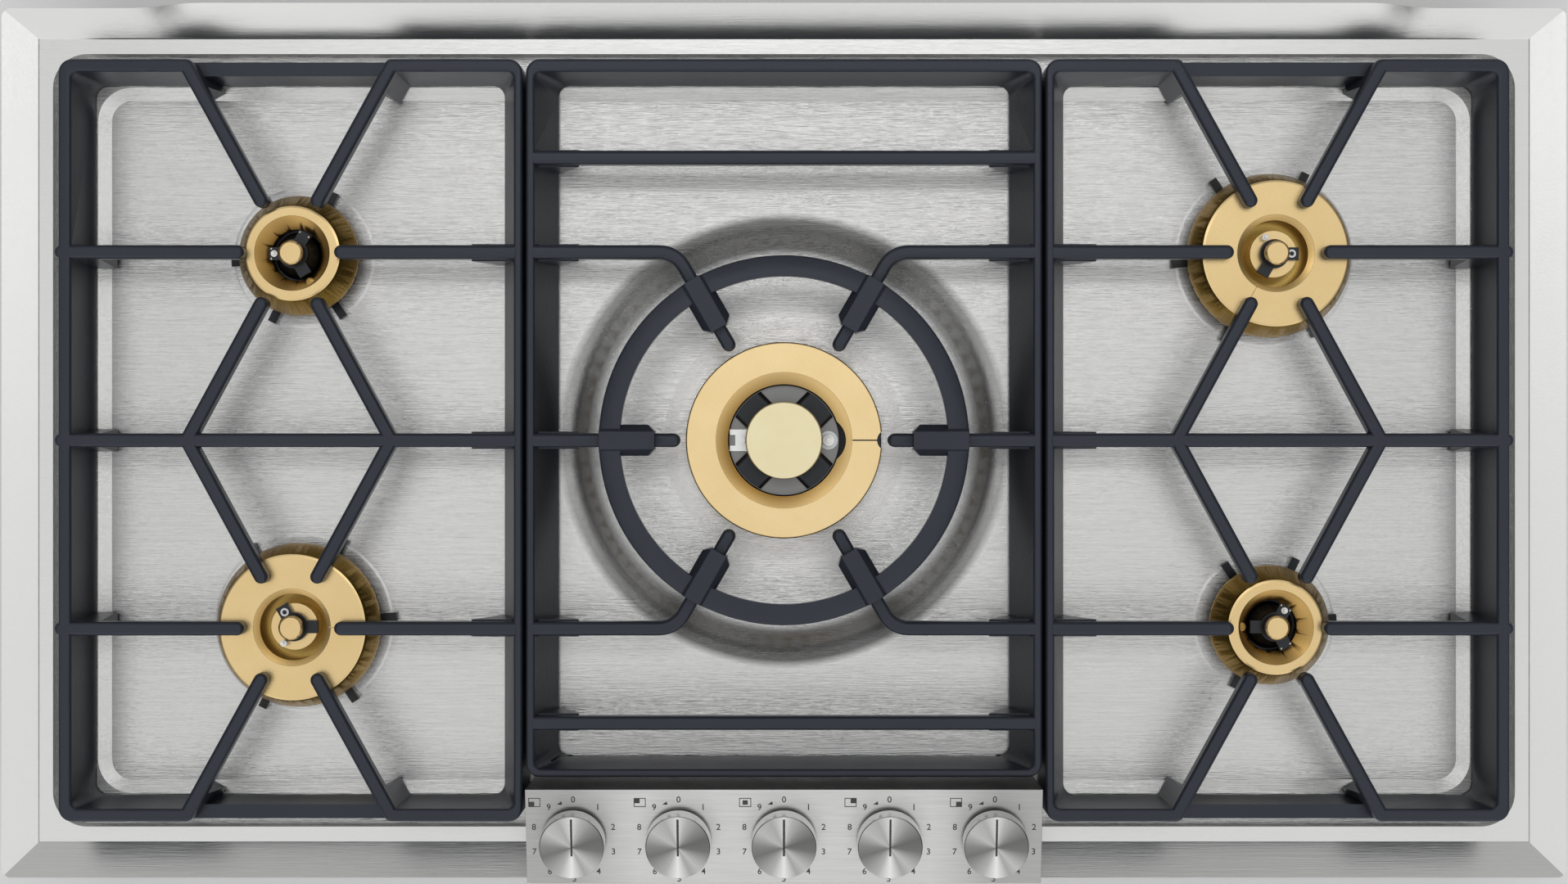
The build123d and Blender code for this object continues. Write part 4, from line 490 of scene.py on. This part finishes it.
def burner_cup_finish(name, centre, bore):
    """Black enamel outside and bare brass down the middle, darkened as painted shade."""
    finish = Finish(name)
    x, y, _ = finish.local(centre)
    inside = reach(x, y) < bore
    grain = finish.noise(finish.place, scale=900.0, detail=3.0)
    kept = 1.0 - inside * 0.85
    return finish.set(
        # Painted shade: the brass down the middle is darkened.
        Base_Color=finish.blend(inside, BLACK, SHADED_BRASS),
        Metallic=inside,
        Roughness=between(grain, 0.3, 0.42),
        Normal=finish.bump(grain, 0.1 * MM, 0.4, finish.upright(kept, kept)),
    )


def plain_metal(name, colour, rough):
    """Zinc, aluminium or bright steel with a little spangle and wear."""
    finish = Finish(name)
    sockets = {"Vector": finish.place, "Scale": 90.0}
    spangle = finish.node("ShaderNodeTexVoronoi", sockets=sockets, out="Distance")
    cloud = finish.noise(finish.place, scale=35.0, detail=5.0)
    tone = (spangle * 0.4 + cloud * 0.6).clamp()
    return finish.set(
        Base_Color=finish.toned(tone, colour, (0.85, 1.1)),
        Metallic=1.0,
        Roughness=between(tone, rough - 0.07, rough + 0.1),
        Normal=finish.bump(cloud, 0.08 * MM, 0.3),
    )


def moulded(name, colour, rough, grain=700.0, depth=0.08 * MM):
    """Rubber, plastic or ceramic with a fine moulded grain."""
    finish = Finish(name)
    fine = finish.noise(finish.place, scale=grain, detail=3.0)
    cloud = finish.noise(finish.place, scale=40.0, detail=3.0)
    return finish.set(
        Base_Color=finish.toned(cloud, colour, (0.85, 1.15)),
        Roughness=between(fine, rough - 0.05, rough + 0.08),
        Normal=finish.bump(fine, depth, 0.5),
    )


RIM_SLOPE = (CREASE, CREASE + 12 * MM)
PANEL_ENDS = (84 * MM, 124 * MM)
FINISHES = {
    "tray_steel": brushed_steel("tray_steel", TRAY, 0.21, 0.18 * MM, slope=RIM_SLOPE),
    "panel_steel": brushed_steel("panel_steel", PANEL, 0.33, ends=PANEL_ENDS),
    "knob_steel": brushed_steel("knob_steel", KNOB_STEEL, 0.25),
    "cast_iron": cast_enamel("cast_iron", CAST_GREY),
    "black_enamel": cast_enamel("black_enamel", BLACK),
    "burner_brass": turned_brass("burner_brass", BRASS),
    "wok_brass": turned_brass("wok_brass", WOK_BRASS, WOK_CENTRE, size="wok"),
    "cap_brass": turned_brass("cap_brass", CAP_BRASS, WOK_CENTRE, 0.32),
    "fitting_brass": turned_brass("fitting_brass", (0.66, 0.50, 0.24)),
    "zinc_steel": plain_metal("zinc_steel", (0.55, 0.56, 0.57), 0.42),
    "plain_steel": plain_metal("plain_steel", (0.5, 0.5, 0.5), 0.3),
    "tube_aluminium": plain_metal("tube_aluminium", (0.7, 0.7, 0.7), 0.35),
    "white_ceramic": moulded("white_ceramic", WHITE, 0.25, 500.0, 0.03 * MM),
    "black_rubber": moulded("black_rubber", (0.02, 0.02, 0.02), 0.7),
    "black_plastic": moulded("black_plastic", (0.03, 0.03, 0.03), 0.45),
    "dial_ink": moulded("dial_ink", (0.035, 0.035, 0.038), 0.5, 300.0, 0.01 * MM),
}
DARK_PLATE = plain_metal("wok_plate", (0.2, 0.2, 0.195), 0.38)
BRIGHT_STEEL = plain_metal("wok_flame_sensor", (0.75, 0.75, 0.74), 0.4)
OWN_FINISHES = {"wok_plate": DARK_PLATE, "wok_flame_sensor": BRIGHT_STEEL}
SLOTS = {row["node"]: row["material_slot"] for row in frame["record"]["subparts"]}
for node_name, thing in frame["nodes"].items():
    thing.data.materials.clear()
    thing.data.materials.append(OWN_FINISHES.get(node_name, FINISHES[SLOTS[node_name]]))


# --- pieces ---
def body_of(node):
    """The body that carries a node."""
    for body, members in frame["record"]["behaviour"]["bodies"].items():
        if node in members:
            return body
    raise KeyError(node)


def added(name, mesh, slot, body, *nodes, finish=None):
    """Puts a finished mesh in the scene on its body, with its finish."""
    thing = bpy.data.objects.new(name, mesh)
    bpy.context.scene.collection.objects.link(thing)
    mesh.materials.append(finish or FINISHES[slot])
    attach(thing, body)
    if nodes:
        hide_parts(*nodes)
    return thing


def as_mesh(shape, name):
    """The finished bmesh as a mesh."""
    mesh = bpy.data.meshes.new(name)
    shape.to_mesh(mesh)
    shape.free()
    return mesh


def smoothed(shape, name, smooth_below=40.0):
    """The finished bmesh as a mesh, shaded smooth except at its sharp edges."""
    for face in shape.faces:
        face.smooth = True
    for edge in shape.edges:
        edge.smooth = edge.calc_face_angle(0.0) < math.radians(smooth_below)
    return as_mesh(shape, name)


# Width of the rounded edges of each kind of piece, and what counts as an edge, a flat or a point.
CAST_EDGE = 1.0 * MM
PANEL_EDGE = 0.35 * MM
RING_EDGE = 0.4 * MM
CAP_EDGE = 0.3 * MM
KNOB_EDGE = 0.25 * MM
EDGE_ANGLE = 28.0
FLAT_ANGLE = 0.4
SAME_POINT = 0.004 * MM


def softened(node, width, name, finish=None):
    """A node's shape with every sharp edge rounded, as cast, pressed or turned edges are."""
    shape = bmesh.new()
    shape.from_mesh(frame["nodes"][node].data)
    bmesh.ops.remove_doubles(shape, verts=shape.verts, dist=SAME_POINT)
    bmesh.ops.dissolve_limit(
        shape, angle_limit=math.radians(FLAT_ANGLE), verts=shape.verts, edges=shape.edges,
        use_dissolve_boundaries=False, delimit=set(),
    )
    mesh = smoothed(shape, name, EDGE_ANGLE)
    thing = added(name, mesh, SLOTS[node], body_of(node), node, finish=finish)
    bevel = thing.modifiers.new("edges", "BEVEL")
    bevel.width = width
    bevel.segments = 3
    bevel.limit_method = "ANGLE"
    bevel.angle_limit = math.radians(EDGE_ANGLE)
    bevel.harden_normals = False
    bevel.use_clamp_overlap = True


def side_burner(place_name):
    """Brass ring and cap of a side burner, and the brass inside the cup of a large one."""
    x, y, size = BURNERS[place_name]
    centre = (x, y, 0)
    ring = "flame_ring_" + place_name
    softened(ring, RING_EDGE, "turned_" + ring, turned_brass(ring, BRASS, centre, size=size))
    cap = "burner_cap_" + place_name
    softened(cap, CAP_EDGE, "turned_" + cap, turned_brass(cap, BRASS, centre))
    if size == "large":
        cup = "burner_cup_" + place_name
        finish = burner_cup_finish(cup, centre, LARGE_CUP_BORE_R)
        frame["nodes"][cup].data.materials[0] = finish


for node_name in ("grate_left", "grate_right", "grate_centre", "wok_ring"):
    softened(node_name, CAST_EDGE, "soft_" + node_name)
softened("control_panel", PANEL_EDGE, "soft_control_panel")
for place_name in BURNERS:
    side_burner(place_name)
for node_name in ("wok_flame_ring", "wok_cap"):
    softened(node_name, RING_EDGE, "turned_" + node_name)

# The wok burner's pin stands right of its axis. Washers: inner radius, outer radius, thickness.
WOK_PIN_X = 26.0 * MM
PIN_COLLAR = (3.4 * MM, 5.4 * MM, 0.7 * MM)
EYELET = (1.3 * MM, 2.4 * MM, 0.6 * MM)


def washer(name, place, size, slot, body):
    """A flat ring about an upright axis, its foot on the given place."""
    inner, outer, thickness = size
    ring = bmesh.new()
    corners = [(inner, 0), (outer, 0), (outer, thickness), (inner, thickness)]
    verts = [ring.verts.new((radius, 0, z)) for radius, z in corners]
    edges = [ring.edges.new((verts[at - 1], verts[at])) for at in range(4)]
    bmesh.ops.spin(
        ring, geom=verts + edges, axis=(0, 0, 1), cent=(0, 0, 0), angle=math.tau, steps=40,
        use_merge=True,
    )
    bmesh.ops.remove_doubles(ring, verts=ring.verts, dist=0.001 * MM)
    bmesh.ops.recalc_face_normals(ring, faces=ring.faces)
    bmesh.ops.translate(ring, vec=place, verts=ring.verts)
    added(name, smoothed(ring, name), slot, body)


# The wok burner's notch at the right edge of its ring, with a black piece low in it as painted shade, and
# the saw cut inside it, drawn as a black strip of painted shade.
NOTCH_X = 59.9 * MM
NOTCH_SHADE_R = 5.8 * MM
NOTCH_SHADE_CUT_X = 56.4 * MM
NOTCH_SHADE_LIFT = 1 * MM
NOTCH_SHADE_DROP = 1.5 * MM
SLIT_SIZE = (16.0 * MM, 0.8 * MM, 0.2 * MM)
SLIT_X = 47.9 * MM
SLIT_DROP = 0.08 * MM


def wok_slit():
    """A black strip as painted shade of the saw cut across the right side of the flat top of the wok
    burner's ring.
    """
    cut = bmesh.new()
    bmesh.ops.create_cube(cut, size=1.0)
    bmesh.ops.scale(cut, vec=SLIT_SIZE, verts=cut.verts)
    bmesh.ops.translate(cut, vec=(SLIT_X, LAYOUT_Y, WOK_BRASS_TOP - SLIT_DROP), verts=cut.verts)
    mesh = smoothed(cut, "wok_ring_slit_shade")
    added("wok_ring_slit_shade", mesh, "wok_brass", "wok_flame_ring", finish=FINISHES["black_enamel"])


def wok_notch_plug():
    """A black piece as painted shade, sitting low in the notch at the right edge of the wok burner's
    ring.
    """
    dark_fill = bmesh.new()
    low, high = WOK_BRASS_FOOT + NOTCH_SHADE_LIFT, WOK_BRASS_TOP - NOTCH_SHADE_DROP
    bmesh.ops.create_cone(
        dark_fill, cap_ends=True, segments=48, radius1=NOTCH_SHADE_R, radius2=NOTCH_SHADE_R,
        depth=high - low,
    )
    bmesh.ops.translate(dark_fill, vec=(NOTCH_X, LAYOUT_Y, (low + high) / 2), verts=dark_fill.verts)
    cut = bmesh.ops.bisect_plane(
        dark_fill, geom=dark_fill.verts[:] + dark_fill.edges[:] + dark_fill.faces[:],
        plane_co=(NOTCH_SHADE_CUT_X, 0, 0), plane_no=(1, 0, 0), clear_outer=True,
    )
    rim = [part for part in cut["geom_cut"] if isinstance(part, bmesh.types.BMEdge)]
    bmesh.ops.contextual_create(dark_fill, geom=rim)
    bmesh.ops.recalc_face_normals(dark_fill, faces=dark_fill.faces)
    mesh = smoothed(dark_fill, "wok_notch_plug")
    added("wok_notch_plug", mesh, "black_enamel", body_of("wok_flame_ring"))


def wok_pin_collar():
    """The washer round the foot of the wok burner's pin."""
    place = (WOK_PIN_X, LAYOUT_Y, WOK_PLATE_TOP)
    washer("wok_pin_collar", place, PIN_COLLAR, "zinc_steel", body_of("wok_plate"))


# What holds the arms of a side burner's bridge, counted from the burner's axis and its first arm.
EYELET_TURN = -120.0
EYELET_REACH = 9.9 * MM
RIVET_TURNS = (0.0, -120.0)
RIVET_REACH = 12.8 * MM
RIVET_SIDE = 2.9 * MM
RIVET_R = 0.75 * MM


def at_burner(name, turn, along, across):
    """A point on a side burner's bridge, along an arm's direction and across it."""
    x, y, _ = BURNERS[name]
    heading = math.radians(PIN_ANGLES[name] + turn)
    ahead = Vector((math.cos(heading), math.sin(heading)))
    aside = Vector((-ahead.y, ahead.x))
    spot = Vector((x, y)) + ahead * along + aside * across
    return (spot.x, spot.y, BRIDGE_TOP)


def bridge_fittings(name):
    """A steel eyelet on a large burner's bridge, rivets on a small one's."""
    body = body_of("flame_ring_" + name)
    if BURNERS[name][2] == "large":
        place = at_burner(name, EYELET_TURN, EYELET_REACH, 0)
        washer(f"bridge_eyelet_{name}", place, EYELET, "plain_steel", body)
        return
    rivets = bmesh.new()
    for turn in RIVET_TURNS:
        for side in (-RIVET_SIDE, RIVET_SIDE):
            fresh = bmesh.ops.create_icosphere(rivets, subdivisions=3, radius=RIVET_R)["verts"]
            bmesh.ops.translate(rivets, vec=at_burner(name, turn, RIVET_REACH, side), verts=fresh)
    mesh = smoothed(rivets, f"bridge_rivets_{name}", 60.0)
    added(f"bridge_rivets_{name}", mesh, "plain_steel", body, finish=BRIGHT_STEEL)


wok_slit()
wok_notch_plug()
wok_pin_collar()
for place_name in BURNERS:
    bridge_fittings(place_name)


# --- control panel ---
# Digits: radius of their circle, height, added weight and height as a share of the font's size.
# Marks are INK thick and stand LIFT above the steel.
DIAL_R = 23.9 * MM
DIGIT_HEIGHT = 3.7 * MM
DIGIT_WEIGHT = 0.06 * MM
DIGIT_SHARE = 0.72
INK = 0.03 * MM
LIFT = 0.02 * MM

# Corners of the turn mark, and edges, line and square of the burner icon, from the dial's centre.
TURN_MARK = [(-9.3 * MM, 20.8 * MM), (-6.4 * MM, 20.6 * MM), (-6.7 * MM, 22.7 * MM)]
ICON_LEFT, ICON_RIGHT = -25.7 * MM, -18.8 * MM
ICON_LOW, ICON_HIGH = 19.3 * MM, 24.7 * MM
ICON_LINE = 0.45 * MM
SQUARE_WIDTH, SQUARE_HEIGHT = 3.0 * MM, 2.7 * MM
# Place of the square in each knob's icon, from 0 to 1 rightwards and rearwards.
ICON_SQUARES = [(0, 0), (0, 1), (0.5, 0.5), (1, 1), (1, 0)]


def panel_frame(x):
    """Matrix of a dial: origin where the knob's axis leaves the panel, Z out of the panel."""
    return Matrix.Translation((x, KNOB_Y, KNOB_Z)) @ Matrix.Rotation(PANEL_TILT, 4, "X")


def stamped(shape, corners):
    """Adds a thin flat mark with the given outline to the bmesh, just above the surface."""
    low = [shape.verts.new((x, y, LIFT)) for x, y in corners]
    face = shape.faces.new(low)
    raised = bmesh.ops.extrude_face_region(shape, geom=[face])["geom"]
    tops = [part for part in raised if isinstance(part, bmesh.types.BMVert)]
    bmesh.ops.translate(shape, verts=tops, vec=(0, 0, INK))


def stamped_box(shape, x0, x1, y0, y1):
    stamped(shape, [(x0, y0), (x1, y0), (x1, y1), (x0, y1)])


def digit(shape, text, x, y):
    """Adds one upright digit, centred on a point of the dial."""
    curve = bpy.data.curves.new("digit", "FONT")
    curve.body = text
    curve.size = DIGIT_HEIGHT / DIGIT_SHARE
    curve.align_x = "CENTER"
    curve.extrude = INK / 2
    curve.offset = DIGIT_WEIGHT
    curve.resolution_u = 4
    writer = bpy.data.objects.new("digit", curve)
    mesh = bpy.data.meshes.new_from_object(writer)
    before = len(shape.verts)
    shape.from_mesh(mesh)
    shape.verts.ensure_lookup_table()
    fresh = shape.verts[before:]
    bmesh.ops.translate(shape, verts=fresh, vec=(x, y - DIGIT_HEIGHT / 2, LIFT + INK / 2))
    bpy.data.objects.remove(writer)
    bpy.data.curves.remove(curve)
    bpy.data.meshes.remove(mesh)


def burner_icon(shape, square):
    """A frame for the cooktop, with a square where the dial's burner stands."""
    inner_left, inner_right = ICON_LEFT + ICON_LINE, ICON_RIGHT - ICON_LINE
    inner_low, inner_high = ICON_LOW + ICON_LINE, ICON_HIGH - ICON_LINE
    stamped_box(shape, ICON_LEFT, ICON_RIGHT, ICON_LOW, inner_low)
    stamped_box(shape, ICON_LEFT, ICON_RIGHT, inner_high, ICON_HIGH)
    stamped_box(shape, ICON_LEFT, inner_left, inner_low, inner_high)
    stamped_box(shape, inner_right, ICON_RIGHT, inner_low, inner_high)
    right_share, rear_share = square
    x = inner_left + right_share * (inner_right - inner_left - SQUARE_WIDTH)
    y = inner_low + rear_share * (inner_high - inner_low - SQUARE_HEIGHT)
    stamped_box(shape, x, x + SQUARE_WIDTH, y, y + SQUARE_HEIGHT)


def dial_marks(number, x, square):
    """Scale, turn mark and burner icon of one dial."""
    shape = bmesh.new()
    for value in range(10):
        turn = math.radians(36 * value)
        digit(shape, str(value), DIAL_R * math.sin(turn), DIAL_R * math.cos(turn))
    stamped(shape, TURN_MARK)
    burner_icon(shape, square)
    bmesh.ops.recalc_face_normals(shape, faces=shape.faces)
    bmesh.ops.transform(shape, matrix=panel_frame(x), verts=shape.verts)
    mesh = as_mesh(shape, "dial_marks")
    added(f"dial_{number}_marks", mesh, "panel_steel", "cooktop", finish=FINISHES["dial_ink"])


for number, (x, square) in enumerate(zip(KNOB_X, ICON_SQUARES), start=1):
    dial_marks(number, x, square)


# --- knobs ---
KNOB_TOP = 14.3 * MM
KNOB_FACE = KNOB_TOP - 0.4 * MM
POINTER_SIZE = (0.9 * MM, 21.6 * MM, 0.4 * MM)
POINTER_PLACE = (0, 5.95 * MM, KNOB_TOP - 0.25 * MM)
POINTER_EDGE = 0.06 * MM


def knob_piece(number, x):
    """Knob with its spun face, turned side and the dark line let into its groove."""
    node = f"knob_{number}"
    centre = (x, KNOB_Y, KNOB_Z)
    finish = spun_steel(node + "_steel", KNOB_STEEL, centre, PANEL_TILT, KNOB_FACE)
    softened(node, KNOB_EDGE, f"spun_knob_{number}", finish)
    line = bmesh.new()
    bmesh.ops.create_cube(line, size=1.0)
    bmesh.ops.scale(line, vec=POINTER_SIZE, verts=line.verts)
    bmesh.ops.translate(line, vec=POINTER_PLACE, verts=line.verts)
    bmesh.ops.bevel(
        line, geom=line.edges[:], offset=POINTER_EDGE, offset_type="OFFSET", affect="EDGES",
        segments=2, profile=0.5, material=-1,
    )
    bmesh.ops.transform(line, matrix=panel_frame(x), verts=line.verts)
    mesh = smoothed(line, f"pointer_{number}")
    added(f"pointer_{number}", mesh, "knob_steel", node, finish=FINISHES["dial_ink"])


for number, x in enumerate(KNOB_X, start=1):
    knob_piece(number, x)


# --- studio ---
FLOOR_HALF = 6.0
PALE_GREYS = ((0.86, 0.86, 0.86), (0.9, 0.9, 0.9))
LAMP_HEIGHT = 2.6
# Strength of the air: all round, added in front, taken away behind, and of the bands at the sides.
AIR = 0.77
AIR_FRONT = 0.25
AIR_REAR = 0.7
BAND_RISE = 7.0
BAND_FALL = 23.0
# The pale horizon: how far up it reaches, how fast it fades, its strength, and that of the rest.
HORIZON_TOP = 0.3
HORIZON_FADE = 8.0
HORIZON = 0.7
LEAST_AIR = 0.1
CAMERA_PLACE = (0.0, 0.5 * MM, WORKTOP + 1.286)


def stage_floor():
    """A plain pale floor under the cooktop."""
    sheet = bmesh.new()
    bmesh.ops.create_grid(sheet, x_segments=1, y_segments=1, size=FLOOR_HALF)
    mesh = as_mesh(sheet, "floor")
    floor = bpy.data.objects.new("floor", mesh)
    bpy.context.scene.collection.objects.link(floor)
    paper = Finish("floor_paper")
    cloud = paper.noise(paper.place, scale=3.0, detail=2.0)
    mesh.materials.append(paper.set(Base_Color=paper.blend(cloud, *PALE_GREYS), Roughness=0.9))


def studio_air():
    """Soft grey studio: a bright band on each side, lighter in front than behind, a pale horizon."""
    world = bpy.data.worlds.new("studio")
    bpy.context.scene.world = world
    world.use_nodes = True
    air = NodeMaker(world.node_tree)
    x, rear, height = air.parts(air.node("ShaderNodeTexCoord", out="Generated"))
    across = x * x
    bands = across * (BAND_RISE - across * BAND_FALL)
    strength = bands + AIR + (-rear).clamp() * AIR_FRONT - rear.clamp() * AIR_REAR
    horizon = ((HORIZON_TOP - abs(height)) * HORIZON_FADE).clamp() * HORIZON + LEAST_AIR
    backdrop = world.node_tree.nodes["Background"]
    air.feed(backdrop.inputs["Color"], (1.0, 1.0, 1.0, 1.0))
    air.feed(backdrop.inputs["Strength"], strength.math("MAXIMUM", strength, horizon))


def soft_box(name, y, width, depth, power):
    """A lamp that shines straight down from above the cooktop's middle line."""
    light = bpy.data.lights.new(name, "AREA")
    light.shape = "RECTANGLE"
    light.size = width
    light.size_y = depth
    light.energy = power
    lamp = bpy.data.objects.new(name, light)
    lamp.location = (0.0, y, LAMP_HEIGHT)
    bpy.context.scene.collection.objects.link(lamp)


def camera():
    """The view straight down, from as high as a perspective fit of the photo says."""
    lens = bpy.data.cameras.new("camera")
    lens.lens = 50.0
    lens.sensor_width = 36.0
    lens.clip_start = 0.01
    eye = bpy.data.objects.new("camera", lens)
    eye.location = CAMERA_PLACE
    bpy.context.scene.collection.objects.link(eye)
    bpy.context.scene.camera = eye


stage_floor()
studio_air()
soft_box("overhead", 0.0, 2.0, 1.2, 1.0)
soft_box("strip", 0.78, 1.5, 0.26, 4.5)
camera()
bpy.context.scene.view_settings.view_transform = "Standard"
